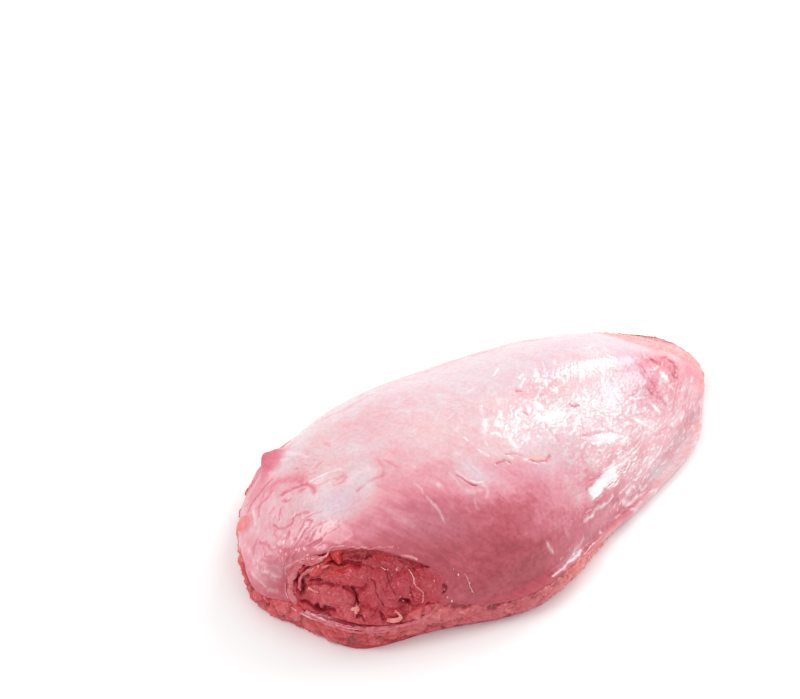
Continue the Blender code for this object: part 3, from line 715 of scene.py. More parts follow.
def disc_places(columns, rows):
    """A grid on a square, carried to a disc without a crowded middle: the larger of the two
    square coordinates becomes the radius, and their ratio the angle. Returns turn and
    radius, both 0 to 1."""
    across, down = np.meshgrid(np.linspace(-1, 1, columns), np.linspace(-1, 1, rows))
    wide = np.abs(across) > np.abs(down)
    radius = np.where(wide, across, down)
    ratio = np.where(wide, down, across) / np.where(radius == 0, 1, radius)
    quarter = np.where(wide, ratio * np.pi / 4, np.pi / 2 - ratio * np.pi / 4)
    angle = quarter + np.where(radius < 0, np.pi, 0)
    return np.mod(angle / (2 * np.pi), 1.0), np.abs(radius)


def fitted(points):
    """The points drawn in so that the relief stays inside the solid's length and width."""
    return points * PLAN_FIT + PLAN_SHIFT


# Meshes


def new_object(name, data):
    """An object in the scene that shows data."""
    made = bpy.data.objects.new(name, data)
    bpy.context.scene.collection.objects.link(made)
    return made


def make_piece(name, points, quads, triangles, attributes, material, replaced=True):
    """Puts one closed surface into a mesh, its faces outward, with its attributes and its
    material, and hands it to the frame."""
    quads, triangles = np.asarray(quads).reshape(-1, 4), np.asarray(triangles).reshape(-1, 3)
    points = np.asarray(points, float)
    halves = np.concatenate([quads[:, [0, 1, 2]], quads[:, [0, 2, 3]], triangles])
    a, b, c = (points[halves[:, k]] for k in range(3))
    if (a * np.cross(b, c)).sum() < 0:
        quads, triangles = quads[:, ::-1], triangles[:, ::-1]
    mesh = bpy.data.meshes.new(name)
    corners = np.concatenate([quads.ravel(), triangles.ravel()])
    starts = np.concatenate([np.arange(len(quads)) * 4, quads.size + np.arange(len(triangles)) * 3])
    mesh.vertices.add(len(points))
    mesh.vertices.foreach_set("co", points.astype(np.float32).ravel())
    mesh.loops.add(len(corners))
    mesh.loops.foreach_set("vertex_index", corners.astype(np.int32))
    mesh.polygons.add(len(starts))
    mesh.polygons.foreach_set("loop_start", starts.astype(np.int32))
    mesh.update(calc_edges=True)
    for attribute_name, values in attributes.items():
        layer = mesh.attributes.new(attribute_name, "FLOAT", "POINT")
        layer.data.foreach_set("value", np.asarray(values, np.float32).ravel())
    mesh.shade_smooth()
    mesh.materials.append(material)
    piece = new_object(name, mesh)
    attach(piece, BODY)
    if replaced:
        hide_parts(NODE)


def ring_faces(rows, columns, first=0):
    """Quads between the rows of a grid whose last column joins the first."""
    here = first + np.arange(rows * columns).reshape(rows, columns)
    beside = np.roll(here, -1, axis=1)
    return np.stack([here[:-1], here[1:], beside[1:], beside[:-1]], axis=-1).reshape(-1, 4)


def fan(ring, centre, turned):
    """Triangles from a closed ring of points to one centre."""
    beside = np.roll(ring, -1)
    pair = (beside, ring) if turned else (ring, beside)
    return np.stack([pair[0], pair[1], np.full(len(ring), centre)], axis=-1)


def rings_piece(name, rings, attributes, material):
    """A closed piece from rings of points, first to last, with a pole at either end."""
    rows, columns = rings.shape[:2]
    points = np.concatenate([rings.reshape(-1, 3), rings[:1].mean(axis=1), rings[-1:].mean(axis=1)])
    index = np.arange(rows * columns).reshape(rows, columns)
    triangles = np.concatenate([fan(index[0], rows * columns, False),
                                fan(index[-1], rows * columns + 1, True)])
    values = {key: np.concatenate([value.reshape(-1), [value[0].mean(), value[-1].mean()]])
              for key, value in attributes.items()}
    make_piece(name, points, ring_faces(rows, columns), triangles, values, material)


def sheet_piece(name, top, sink, attributes, material):
    """A closed piece from a square grid: its rim is carried on through the loops of points
    that sink gives for it, and those end in one pole."""
    rows, columns = top.shape[:2]
    index = np.arange(rows * columns).reshape(rows, columns)
    rim = np.concatenate([index[0, :-1], index[:-1, -1], index[-1, :0:-1], index[:0:-1, 0]])
    flat = top.reshape(-1, 3)
    loops = sink(flat[rim])
    everything = np.concatenate([flat] + loops + [loops[-1].mean(axis=0)[None]])
    chain = [rim] + [len(flat) + k * len(rim) + np.arange(len(rim)) for k in range(len(loops))]
    quads = np.stack([index[:-1, :-1], index[:-1, 1:], index[1:, 1:], index[1:, :-1]], axis=-1)
    walls = [np.stack([upper, lower, np.roll(lower, -1), np.roll(upper, -1)], axis=-1)
             for upper, lower in zip(chain, chain[1:])]
    triangles = fan(chain[-1], len(everything) - 1, True)
    rest = np.zeros(len(everything) - len(flat))
    values = {key: np.concatenate([value.reshape(-1), rest]) for key, value in attributes.items()}
    make_piece(name, everything, np.concatenate([quads.reshape(-1, 4)] + walls), triangles,
               values, material)


def ribbons_piece(name, paths, material, sides=14):
    """Many small closed ribbons in one piece, laid over the solid. Each path is (points, up,
    half widths, half heights): an ellipse carried along the points, with a pole at each end."""
    turn = np.arange(sides) / sides * 2 * np.pi
    points, quads, triangles, first = [], [], [], 0
    for middle, up, half_width, half_height in paths:
        side = unit(np.cross(np.gradient(middle, axis=0), up))
        wide, high = side * half_width[:, None], up * half_height[:, None]
        ring = (middle[:, None] + np.cos(turn)[None, :, None] * wide[:, None]
                + np.sin(turn)[None, :, None] * high[:, None])
        count = len(middle)
        index = first + np.arange(count * sides).reshape(count, sides)
        points += [ring.reshape(-1, 3), middle[:1], middle[-1:]]
        quads.append(ring_faces(count, sides, first))
        triangles += [fan(index[0], first + count * sides, False),
                      fan(index[-1], first + count * sides + 1, True)]
        first += count * sides + 2
    make_piece(name, np.concatenate(points), np.concatenate(quads), np.concatenate(triangles), {},
               material, replaced=False)


# Node helpers


def set_inputs(tree, node, inputs):
    """Sets a node's inputs to values, or links them to sockets."""
    for key, value in inputs.items():
        if isinstance(value, bpy.types.NodeSocket):
            tree.links.new(value, node.inputs[key])
        else:
            node.inputs[key].default_value = value


def shader_node(tree, kind, inputs=None, **settings):
    """A node with its settings and its inputs."""
    made = tree.nodes.new(kind)
    for key, value in settings.items():
        setattr(made, key, value)
    set_inputs(tree, made, inputs or {})
    return made


def calculate(tree, operation, *values, clamp=False):
    """The output of a Math node."""
    return shader_node(tree, "ShaderNodeMath", dict(enumerate(values)), operation=operation,
                       use_clamp=clamp).outputs[0]


def colour4(value):
    """A socket as it is, or three channels with full alpha."""
    return value if isinstance(value, bpy.types.NodeSocket) else (*value, 1.0)


def blend_colours(tree, factor, a, b, blend_type="MIX"):
    """The output of a Mix node on colours."""
    return shader_node(tree, "ShaderNodeMix", {0: factor, 6: colour4(a), 7: colour4(b)},
                       data_type="RGBA", blend_type=blend_type).outputs[2]


def overlaid(tree, colour, layers):
    """The colour under layers of (mask, colour), the last on top."""
    for mask, layer in layers:
        colour = blend_colours(tree, mask, colour, layer)
    return colour


def ramp(tree, value, stops):
    """The colour of a Color Ramp node with smooth steps through the stops."""
    made = shader_node(tree, "ShaderNodeValToRGB", {"Fac": value})
    elements = made.color_ramp.elements
    for place, colour in stops[1:-1]:
        elements.new(place).color = colour4(colour)
    elements[0].position, elements[0].color = stops[0][0], colour4(stops[0][1])
    elements[-1].position, elements[-1].color = stops[-1][0], colour4(stops[-1][1])
    return made.outputs["Color"]


def attribute(tree, name):
    """The value of one of the piece's attributes."""
    return shader_node(tree, "ShaderNodeAttribute", attribute_name=name).outputs["Fac"]


def noise(tree, place, size_mm, detail=3.0, roughness=0.5, distortion=0.0):
    """The value of a Noise Texture whose features are about size_mm wide."""
    return shader_node(tree, "ShaderNodeTexNoise", {
        "Vector": place, "Scale": 1 / (size_mm * MM), "Detail": detail, "Roughness": roughness,
        "Distortion": distortion}).outputs["Fac"]


def spread_out(tree, value, low, high, to_low=0.0, to_high=1.0):
    """value carried from low..high to to_low..to_high, with smooth ends."""
    return shader_node(tree, "ShaderNodeMapRange", {
        "Value": value, "From Min": low, "From Max": high, "To Min": to_low,
        "To Max": to_high}, interpolation_type="SMOOTHSTEP").outputs["Result"]


def moist_grain_group():
    """Fine grain of wet tissue: a height for bumps and a value that varies the gloss."""
    found = bpy.data.node_groups.get("Moist grain")
    if found:
        return found
    tree = bpy.data.node_groups.new("Moist grain", "ShaderNodeTree")
    tree.interface.new_socket("Vector", in_out="INPUT", socket_type="NodeSocketVector")
    for name, value in (("Grain mm", 0.5), ("Gloss low", 0.25), ("Gloss high", 0.45)):
        socket = tree.interface.new_socket(name, in_out="INPUT", socket_type="NodeSocketFloat")
        socket.default_value = value
    for name in ("Height", "Roughness"):
        tree.interface.new_socket(name, in_out="OUTPUT", socket_type="NodeSocketFloat")
    given = tree.nodes.new("NodeGroupInput")
    scale = calculate(tree, "DIVIDE", 1 / MM, given.outputs["Grain mm"])
    fine = shader_node(tree, "ShaderNodeTexNoise", {
        "Vector": given.outputs["Vector"], "Scale": scale, "Detail": 3.0}).outputs["Fac"]
    broad = shader_node(tree, "ShaderNodeTexNoise", {
        "Vector": given.outputs["Vector"], "Scale": calculate(tree, "MULTIPLY", scale, 0.12),
        "Detail": 2.0}).outputs["Fac"]
    gloss = shader_node(tree, "ShaderNodeMapRange", {
        "Value": broad, "From Min": 0.35, "From Max": 0.65,
        "To Min": given.outputs["Gloss low"], "To Max": given.outputs["Gloss high"]})
    shader_node(tree, "NodeGroupOutput", {"Height": fine, "Roughness": gloss.outputs["Result"]})
    return tree


def new_material(name):
    """A material with an empty tree, its shader and the Object coordinates."""
    material = bpy.data.materials.new(name)
    material.use_nodes = True
    tree = material.node_tree
    tree.nodes.clear()
    shader = shader_node(tree, "ShaderNodeBsdfPrincipled")
    shader_node(tree, "ShaderNodeOutputMaterial", {"Surface": shader.outputs[0]})
    place = shader_node(tree, "ShaderNodeTexCoord").outputs["Object"]
    return material, tree, shader, place


def wet_tissue(tree, shader, place, colour, grain_mm, gloss, coat, soft, bump_mm):
    """Sets what the moist tissues share: colour, grain, gloss, coat and soft light beneath."""
    grain = shader_node(tree, "ShaderNodeGroup", node_tree=moist_grain_group())
    set_inputs(tree, grain, {"Vector": place, "Grain mm": grain_mm, "Gloss low": gloss[0],
                             "Gloss high": gloss[1]})
    bump = shader_node(tree, "ShaderNodeBump", {
        "Height": grain.outputs["Height"], "Distance": bump_mm * MM, "Strength": 1.0})
    set_inputs(tree, shader, {
        "Base Color": colour, "Roughness": grain.outputs["Roughness"],
        "Normal": bump.outputs["Normal"], "IOR": 1.38,
        "Coat Weight": coat, "Coat Roughness": 0.08, "Coat IOR": 1.45,
        "Subsurface Weight": soft, "Subsurface Radius": (1.0, 0.35, 0.28),
        "Subsurface Scale": 2.0 * MM})


def silverskin_material(colours):
    """Silverskin: a milky veil that thins out over pink and dark muscle, with clouds,
    streaks, tints, whiter folds with painted highlights, and granular fat where it ends."""
    material, tree, shader, place = new_material("silverskin")
    pale, lilac, peach, flush, white, fat, wet = (
        attribute(tree, key) for key in ("pale", "lilac", "peach", "flush", "white", "fat", "wet"))
    cloud = noise(tree, place, 4.0, 2.0, 0.5, 0.3)
    drawn_out = [shader_node(tree, "ShaderNodeMapping", {
        "Vector": place, "Rotation": (0.0, 0.0, math.radians(heading)), "Scale": (11.0, 1.0, 1.0)},
        vector_type="TEXTURE").outputs[0] for heading in (-54.0, 24.0)]
    fibres = [noise(tree, stretched, 1.1, 3.0, 0.5, 0.3) for stretched in drawn_out]
    streak = shader_node(tree, "ShaderNodeMix", {
        0: attribute(tree, "skirt"), 2: fibres[0], 3: fibres[1]}).outputs[0]
    shade = calculate(tree, "ADD", pale, spread_out(tree, cloud, 0.3, 0.7, -0.04, 0.04))
    streak = calculate(tree, "MULTIPLY", spread_out(tree, streak, 0.3, 0.7, -0.08, 0.08),
                       calculate(tree, "SUBTRACT", 1.15, pale))
    shade = calculate(tree, "ADD", shade, streak, clamp=True)
    colour = ramp(tree, shade, [(0.0, colours.deep), (0.22, colours.rose), (0.42, colours.dusk),
                                (0.62, colours.pink), (0.82, colours.blush), (1.0, colours.veil)])
    fat_cloud = spread_out(tree, noise(tree, place, 2.4, 3.0, 0.6, 0.5), 0.35, 0.7)
    fat_colour = blend_colours(tree, fat_cloud, colours.fat_deep, colours.fat)
    # The white layer on top is partly painted highlights.
    colour = overlaid(tree, colour, [
        (lilac, colours.lilac), (peach, colours.peach), (fat, fat_colour),
        (flush, colours.flush), (white, colours.white)])
    dots = spread_out(tree, noise(tree, place, 0.8, 2.0), 0.35, 0.65, 0.95, 1.04)
    colour = blend_colours(tree, 1.0, colour, shader_node(tree, "ShaderNodeCombineXYZ", {
        0: dots, 1: dots, 2: dots}).outputs[0], "MULTIPLY")
    wet_tissue(tree, shader, place, colour, 0.6, (0.24, 0.40), 0.9, 0.12, 0.03)
    set_inputs(tree, shader, {"Specular IOR Level": 0.20,
                              "Coat Weight": spread_out(tree, wet, 0.0, 1.0, 0.15, 0.95)})
    return material


def meat_material(name, colours, grain_mm, bump_mm):
    """Bare muscle: nearly black red in its gaps, which is painted shade, paler on its lumps,
    which is partly painted light on their tops, with brighter red, pale flecks (partly painted
    glints), fat and thin skin where they are marked."""
    material, tree, shader, place = new_material(name)
    shaded_crease, lump, red, fat, skin = (attribute(tree, key) for key in
                                    ("shaded_crease", "lump", "red", "fat", "skin"))
    cloud = noise(tree, place, 2.4, 4.0, 0.6, 0.5)
    # Pale flecks of fat, partly painted glints.
    flecks = spread_out(tree, noise(tree, place, 0.7, 3.0, 0.6, 0.8), 0.64, 0.74, 0.0, 0.6)
    # Painted light: paler on the tops of the lumps, with random clouds.
    light = calculate(tree, "ADD", lump, spread_out(tree, cloud, 0.3, 0.7, -0.35, 0.35), clamp=True)
    fat_cloud = spread_out(tree, cloud, 0.35, 0.65)
    fat_colour = blend_colours(tree, fat_cloud, colours.fat_deep, colours.fat)
    # Painted shade: the gap colour in the creases, laid on last.
    colour = overlaid(tree, colours.meat, [
        (light, colours.lit_pale_meat), (red, colours.bright_red), (flecks, colours.blush),
        (fat, fat_colour), (skin, colours.rose), (shaded_crease, colours.gap)])
    wet_tissue(tree, shader, place, colour, grain_mm, (0.24, 0.44), 0.45, 0.10, bump_mm)
    shader.inputs["Specular IOR Level"].default_value = 0.35
    return material


def membrane_material(name, colour, soft):
    """Pale wet membrane or fat in one colour with faint clouds."""
    material, tree, shader, place = new_material(name)
    clouded = spread_out(tree, noise(tree, place, 1.6, 3.0), 0.35, 0.65)
    darker = [channel * share for channel, share in zip(colour, (0.85, 0.45, 0.5))]
    wet_tissue(tree, shader, place, blend_colours(tree, clouded, darker, colour), 0.5,
               (0.25, 0.38), 0.6, soft, 0.03)
    return material


# The silverskin


def fine_folds(points, normals, x, y, heading, edge_sway, blunt):
    """The silverskin's fine folds, about 0 to 1, and where it is the skirt of the thin end:
    puckers and short bent strokes on the loose skin; lanes of noise drawn out along the
    skirt's line, with straight strokes, on the skirt and part of the way on the blunt end."""
    away = distance_to(x, y, SKIRT_LINE)
    skirt = smooth_step(11, 5, away) * smooth_step(8, 18, x)

    def strokes(cell, half_length, half_width, salt, spread, share=1.0):
        """Strokes along the heading of the fine folds, lengths in millimetres."""
        return scattered(points, normals, heading, cell * MM, half_length * MM, half_width * MM,
                         salt, spread, share)

    puckers = long_lobules(points, normals, heading, 1.25 * MM, 1.45, 97)
    small = long_lobules(points, normals, heading, 0.65 * MM, 1.40, 104)
    coarse, fine = strokes(2.1, 2.0, 0.60, 41, 35), strokes(1.2, 1.2, 0.30, 48, 40)
    short, long = strokes(1.3, 1.3, 0.24, 62, 10), strokes(2.0, 2.3, 0.28, 162, 8, 0.9)
    lane_place = np.stack([x / 20.0, (away + edge_sway) / 0.80, 0 * x], axis=-1)
    lanes = (smooth_noise(lane_place, 1.0, 55)
             + 0.6 * smooth_noise(lane_place * [1.7, 2.1, 1], 1.0, 57))
    lanes = np.clip(1 - np.abs(lanes) / 0.50, 0, 1)
    loose = 0.40 * puckers + 0.22 * small + 0.45 * coarse + 0.35 * fine
    straight = 0.15 + 0.22 * lanes + 0.50 * short + 0.50 * long + 0.20 * small
    return loose + (straight - loose) * np.maximum(skirt, 0.6 * blunt), skirt


def skin_relief(points, normals, sizes):
    """How far the silverskin stands out from the smooth body, and its tissues: how pale it
    is, with painted shade in its creases, pits and between its folds, its tints, its white
    folds with painted highlights and where fat takes its place (all 0 to 1). The height is
    the fine folds where it is crinkled and the drawn strands, less the drawn creases and
    small pits; granules, a lump and folds of fat; slow waves; and a pit under the tear."""
    sway = [0.30 * smooth_noise(points, 1.9 * MM, 90 + k)
            + 0.12 * smooth_noise(points, 0.7 * MM, 94 + k) for k in range(2)]
    x, y = points[..., 0] / MM + sway[0], points[..., 1] / MM + sway[1]
    heading = grain_heading(x, y)
    hollow = 1 - smooth_step(0.93, 0.985, tear_level(points))

    crinkled = np.clip(painted(x, y, CRINKLED_PATCHES), 0, 1)
    blunt = smooth_step(-30, -38, x)
    warped = points + 0.30 * MM * np.stack([smooth_noise(points, 1.1 * MM, 86 + k)
                                            for k in range(3)], axis=-1)
    texture, skirt = fine_folds(warped, normals, x, y, heading, 0.4 * sway[0], blunt)

    patchy = np.clip(0.90 + 0.6 * clouds(points, 1.6 * MM, 111), 0.35, 1.2)
    shaded_crease, strand = drawn(x, y, CREASES) * patchy, drawn(x, y, STRANDS_AND_HIGHLIGHTS) * patchy
    shaded_crease = shaded_crease * (1 - 0.15 * blunt)
    shoulder = np.clip(drawn(x, y, CREASES, 2.0) - shaded_crease, 0, 1)
    pits = blunt * crinkled * scattered(points, normals, heading, 2.0 * MM, 1.7 * MM, 0.30 * MM,
                                        69, 20, 0.8)
    sunk = np.maximum(shaded_crease, pits)
    crumple = smooth_step(-44, -48, x) * crinkled * lobules(warped * np.array([1.0, 1.6, 1.0]),
                                                            2.6 * MM, 140)

    ragged = y - np.interp(x, *zip(*FAT_FRONT)) + 2.2 * clouds(points, 5 * MM, 83)
    fat = smooth_step(-1.6, 2.6, ragged)
    lump = smooth_step(0.35, 0.70, painted(x, y, FAT_LUMP))
    ear = painted(x, y, EAR)
    grains = lobules(points, 1.5 * MM, 84)

    height = sizes.crinkle * (texture * crinkled + 1.2 * strand) * (1 - fat)
    height -= sizes.wrinkle * (sunk - 0.35 * shoulder) * (1 - hollow) * (1 - fat)
    height += CRUMPLE_RISE * crumple * (1 - fat)
    height = height + FAT_GRAIN_RISE * (grains - 0.7) * fat + (0.7 + 0.3 * grains) * MM * lump
    height = height + (0.5 + 0.3 * grains) * MM * painted(x, y, RIM_FOLD) + EAR_RISE * ear
    height += MM * painted(x, y, FULLER)
    height += SKIN_WAVE * smooth_noise(points, 30.6 * MM, 31)
    height += SKIN_SWELL * clouds(points, 4.5 * MM, 45)
    height -= (HOLLOW_DEPTH + 1.6 * MM) * hollow

    # How pale: the veil's front wanders; faint streaks; darker between folds, in creases and in
    # pits, which is painted shade and partly the muscle seen through thinner skin.
    wander = 2.2 * clouds(points, 11 * MM, 71) + 1.2 * sway[0]
    pale = np.interp(y - np.interp(x, *zip(*VEIL_FRONT)) + wander, *zip(*VEIL_FADE))
    pale = pale + painted(x, y, PALE_PATCHES) + 0.03 * clouds(points, 6 * MM, 75)
    streaks, dark_streaks = (scattered(points, normals, heading, 4.2 * MM, 4.2 * MM, 0.70 * MM,
                                       salt, 12) for salt in (118, 125))
    pale = pale + 0.07 * (streaks - dark_streaks) * (1 - crinkled)
    pale += 0.03 * clouds(points, 2.6 * MM, 132)
    pale -= (0.40 + 0.30 * clouds(points, 9 * MM, 160)) * smooth_step(21, 35, y)
    milky = smooth_step(38, 28, x) * smooth_step(-13, -7, y)
    pale -= (0.34 - 0.14 * milky) * crinkled * smooth_step(0.60, 0.25, texture)
    pale = pale - 0.40 * shaded_crease - 0.30 * pits

    # Painted highlights: white where the folds would catch the light, under the glare patches,
    # less in the creases; and white on the strands, partly threads and partly painted glints.
    glare = painted(x, y, GLARE_PATCHES) + 0.10 * clouds(points, 3.0 * MM, 150)
    level = glare + 1.25 * (texture - 0.70)
    white = (0.24 * smooth_step(0.05, 0.75, glare)
             + 0.66 * smooth_step(0.20, 0.80 - 0.15 * skirt, level))
    white = white * smooth_step(0.02, 0.3, crinkled + glare)
    white = white * (1 - 0.6 * sunk) + strand * (0.72 - 0.30 * smooth_step(0, -10, x))
    white = np.clip(white, 0, 0.95) * (1 - 0.8 * fat)

    flush = painted(x, y, FLUSH_PATCHES) * (0.8 + 0.5 * clouds(points, 1.8 * MM, 155))
    # Redder in the creases and pits: painted shade, partly the flesh seen through the thin skin.
    flush = np.maximum(np.clip(flush, 0, 0.85), (0.25 + 0.35 * blunt) * sunk)
    wet = np.clip(0.25 + 0.8 * crinkled + 0.5 * smooth_step(4, -8, y), 0, 1)
    dry = np.clip(ear + lump + painted(x, y, DRY_PATCHES), 0, 1)
    wet = wet * smooth_step(25, 12, y) * (1 - 0.8 * dry)
    return height, {
        "pale": np.clip(pale, 0, 1), "white": white, "skirt": skirt, "flush": flush, "wet": wet,
        "lilac": np.clip(painted(x, y, LILAC_PATCHES), 0, 0.8) * (1 - 0.7 * shaded_crease),
        "peach": np.clip(painted(x, y, PEACH_PATCHES), 0, 0.8),
        "fat": np.clip(0.7 * fat + lump, 0, 1) * (0.75 + 0.25 * grains),
    }


def skin_reach(turn):
    """How far down the cut band the silverskin comes, as a ring: just over the edge, and
    most of the way down under the long straight edge of the thin end."""
    return 1.03 + 0.92 * smooth_step(0.765, 0.83, turn) * smooth_step(1.0, 0.965, turn)


class CHEEK_OT_silverskin(bpy.types.Operator):
    """Make the dome under its silverskin"""

    bl_idname = "cheek.silverskin"
    bl_label = "Silverskin"

    def execute(self, context):
        sizes, colours = context.scene.cheek_sizes, context.scene.cheek_colours
        turn, ring = disc_places(384, 246)
        angle = 2 * np.pi * turn
        rim_place = np.stack([np.cos(angle), np.sin(angle), 0 * turn], axis=-1)
        ragged = 0.05 * clouds(rim_place, 0.05, 33)
        behind = smooth_step(0.1, 0.4, rim_place[..., 1])
        ragged = ragged + 0.16 * behind * np.clip(0.4 + clouds(rim_place, 0.22, 37), 0, 1)
        ring = ring * (1 + (skin_reach(turn) - 1 + ragged) * smooth_step(0.93, 1.0, ring))
        smooth = body_surface(turn, ring)
        normals = upward_normals(smooth)
        height, tissue = skin_relief(smooth, normals, sizes)
        height -= under_sheets(smooth, SHEETS)
        top = fitted(smooth + normals * height[..., None])

        def sink(rim):
            """The rim runs in and down to the middle of the underside."""
            loops = []
            for share, drop in ((0.985, 0.8), (0.95, 1.6), (0.6, 1.8)):
                loop = CROWN_PLACE + (rim - CROWN_PLACE) * share
                loop[:, 2] = np.maximum(rim[:, 2] - drop * MM, 0.6 * MM)
                loops.append(loop)
            return loops

        sheet_piece("silverskin", top, sink, tissue, silverskin_material(colours))
        return {"FINISHED"}


def from_middle(outline, middle_x, middle_y):
    """An outline's points as steps from its middle."""
    return [(x - middle_x, y - middle_y) for x, y in outline]


def under_sheets(points, sheets):
    """How far a surface is lowered where the finer sheets lie over it."""
    lowered = np.zeros(points.shape[:-1])
    for _, (middle_x, middle_y), outline, _, _ in sheets:
        x, y = points[..., 0] / MM - middle_x, points[..., 1] / MM - middle_y
        outline = from_middle(outline, middle_x, middle_y)
        level = np.hypot(x, y) / closed_reach(outline, np.arctan2(y, x))
        lowered = np.maximum(lowered, SHEET_BED * smooth_step(0.93, 0.86, level))
    return lowered


class CHEEK_OT_folded_sheets(bpy.types.Operator):
    """Make the crinkled silverskin of the crown and of both ends in finer grids"""

    bl_idname = "cheek.folded_sheets"
    bl_label = "Folded sheets"

    def execute(self, context):
        sizes = context.scene.cheek_sizes
        material = bpy.data.materials["silverskin"]
        for number, (name, (middle_x, middle_y), outline, columns, rows) in enumerate(SHEETS):
            turn, radius = disc_places(columns, rows)
            angle = 2 * np.pi * turn
            edge = closed_reach(from_middle(outline, middle_x, middle_y), angle)
            smooth = dome_points(middle_x + edge * radius * np.cos(angle),
                                 middle_y + edge * radius * np.sin(angle))
            normals = upward_normals(smooth)
            height, tissue = skin_relief(smooth, normals, sizes)
            height = height + SHEET_LIFT - 0.08 * MM * smooth_step(0.90, 0.98, radius)
            height -= 0.4 * MM * smooth_step(0.98, 1.0, radius)
            height -= under_sheets(smooth, SHEETS[number + 1:])
            top = fitted(smooth + normals * height[..., None])

            def sink(rim):
                """The sheet's underside: loops that follow the dome, deeper towards the middle."""
                rim = (rim - PLAN_SHIFT) / PLAN_FIT / MM
                off_x, off_y = rim[:, 0] - middle_x, rim[:, 1] - middle_y
                return [fitted(dome_points(middle_x + off_x * share, middle_y + off_y * share)
                               - [0, 0, (2.0 - share) * MM])
                        for share in (0.98, 0.95, 0.92, 0.89, 0.86, 0.8, 0.7, 0.55, 0.4, 0.2)]

            sheet_piece(name, top, sink, tissue, material)
        return {"FINISHED"}


class CHEEK_OT_cut_band(bpy.types.Operator):
    """Make the band of cut meat round the foot, and the underside"""

    bl_idname = "cheek.cut_band"
    bl_label = "Cut band"

    def execute(self, context):
        sizes, colours = context.scene.cheek_sizes, context.scene.cheek_colours
        turns = np.arange(1280) / 1280
        rows = np.concatenate([np.linspace(0.90, 1.0, 7)[:-1], np.linspace(1.0, 2.0, 50)[:-1],
                               2 + np.linspace(0, 0.92, 16)])
        turn, ring = np.meshgrid(turns, rows)
        smooth = body_surface(turn, ring)
        normals = grid_normals(smooth, wrap=True)
        band_row = 30
        outward = smooth[band_row] - CROWN_PLACE
        normals = normals * np.sign((normals[band_row] * outward).sum())
        relief, values = self.cut_meat(smooth, turn, ring, sizes)
        surface = fitted(smooth + normals * relief[..., None])
        surface[..., 2] = np.maximum(surface[..., 2], 0.0)

        # The inner closure: from the sunk top edge to the middle, inside the dome.
        middle = CROWN_PLACE + [0, 0, 2.0 * MM]
        inner = np.stack([middle + (surface[0] - middle) * share for share in (0.3, 0.8)])
        inner[..., 2] = 2.0 * MM
        values = {key: np.concatenate([value[:2] * 0, value]) for key, value in values.items()}
        rings_piece("cut_band", np.concatenate([inner, surface]), values,
                    meat_material("cut_meat", colours, 0.5, 0.07))
        return {"FINISHED"}

    def cut_meat(self, smooth, turn, ring, sizes):
        """How far the cut meat stands out, and its tissues: lobules in three sizes, smaller
        and finer towards the thin end, with clouds; sunk under the silverskin and inside the
        tear; and shallow lobules under the cheek."""
        cover = skin_reach(turn)
        band = smooth_step(0.96, 1.10, ring) * smooth_step(2.04, 1.9, ring)
        bare = smooth_step(cover - 0.12, cover + 0.06, ring)
        bent = smooth + 1.2 * MM * np.stack([clouds(smooth, 2.6 * MM, 34 + 4 * k)
                                             for k in range(3)], axis=-1)
        large = lobules(bent * np.array([1, 1, 0.6]), sizes.lobule, 21)
        middling = lobules(bent * np.array([1, 1, 0.7]), 0.6 * sizes.lobule, 29)
        small = lobules(bent, 0.33 * sizes.lobule, 26)
        granular = smooth_step(-42 * MM, -16 * MM, smooth[..., 0])
        lumps = ((0.62 - 0.36 * granular) * large + 0.22 * middling
                 + (0.16 + 0.36 * granular) * small)
        lumps = 0.60 * lumps + 0.22 + 0.42 * clouds(bent, 2.4 * MM, 148)

        relief = sizes.band_relief * (1.60 - 0.50 * granular) * (lumps - 0.6)
        relief += 0.6 * MM * smooth_noise(smooth, 13.6 * MM, 22)
        relief += 0.30 * MM * clouds(smooth, 1.3 * MM, 23)
        relief = relief * band * (0.3 + 0.7 * bare) - 0.5 * MM * (1 - bare)
        in_tear = 1 - smooth_step(0.96, 1.04, tear_level(smooth))
        relief -= 3.0 * MM * in_tear * smooth_step(1.06, 0.98, ring)
        relief -= 1.0 * MM * smooth_step(0.995, 0.93, ring)
        under = smooth_step(2.0, 2.15, ring)
        relief -= 0.35 * MM * under * lobules(smooth, 2.5 * sizes.lobule, 24)

        x, y = smooth[..., 0] / MM, smooth[..., 1] / MM
        tone = painted(x, y, BAND_PATCHES)
        fat = smooth_step(20, 30, x) * smooth_step(2, 10, y)
        fat = fat + 0.75 * smooth_step(-8, 10, x) * smooth_step(0, -10, y)
        fat = fat + (0.7 * smooth_step(-57, -60, x) * smooth_step(1.6, 1.2, ring)
                     * smooth_step(0, 4, y))
        fat = fat + 0.2 * clouds(smooth, 4 * MM, 25) * (fat > 0)
        fat = fat + (0.8 * smooth_step(0.15, 0.55, clouds(bent, 2.2 * MM, 144))
                     * smooth_step(0.5, 0.8, lumps))
        fat = np.clip(fat + 0.8 * np.minimum(tone, 0), 0, 1)
        # Painted shade in the creases between the lumps; painted light on the lumps, paler where
        # the tone patches say.
        return relief, {
            "shaded_crease": np.clip(2.6 * (0.52 - lumps), 0, 0.80) * band * (1 - 0.65 * fat),
            "lump": np.clip(2.6 * lumps - 1.1 + 0.60 * granular + tone, 0, 1),
            "red": 0.35 * smooth_step(0.1, 0.6, clouds(smooth, 5 * MM, 27)) + 0.40 * (1 - granular),
            "fat": fat * smooth_step(2.1, 1.9, ring),
            "skin": 0 * fat,
        }


# The torn hollow. Places in it are in millimetres along the tear and down the flank.

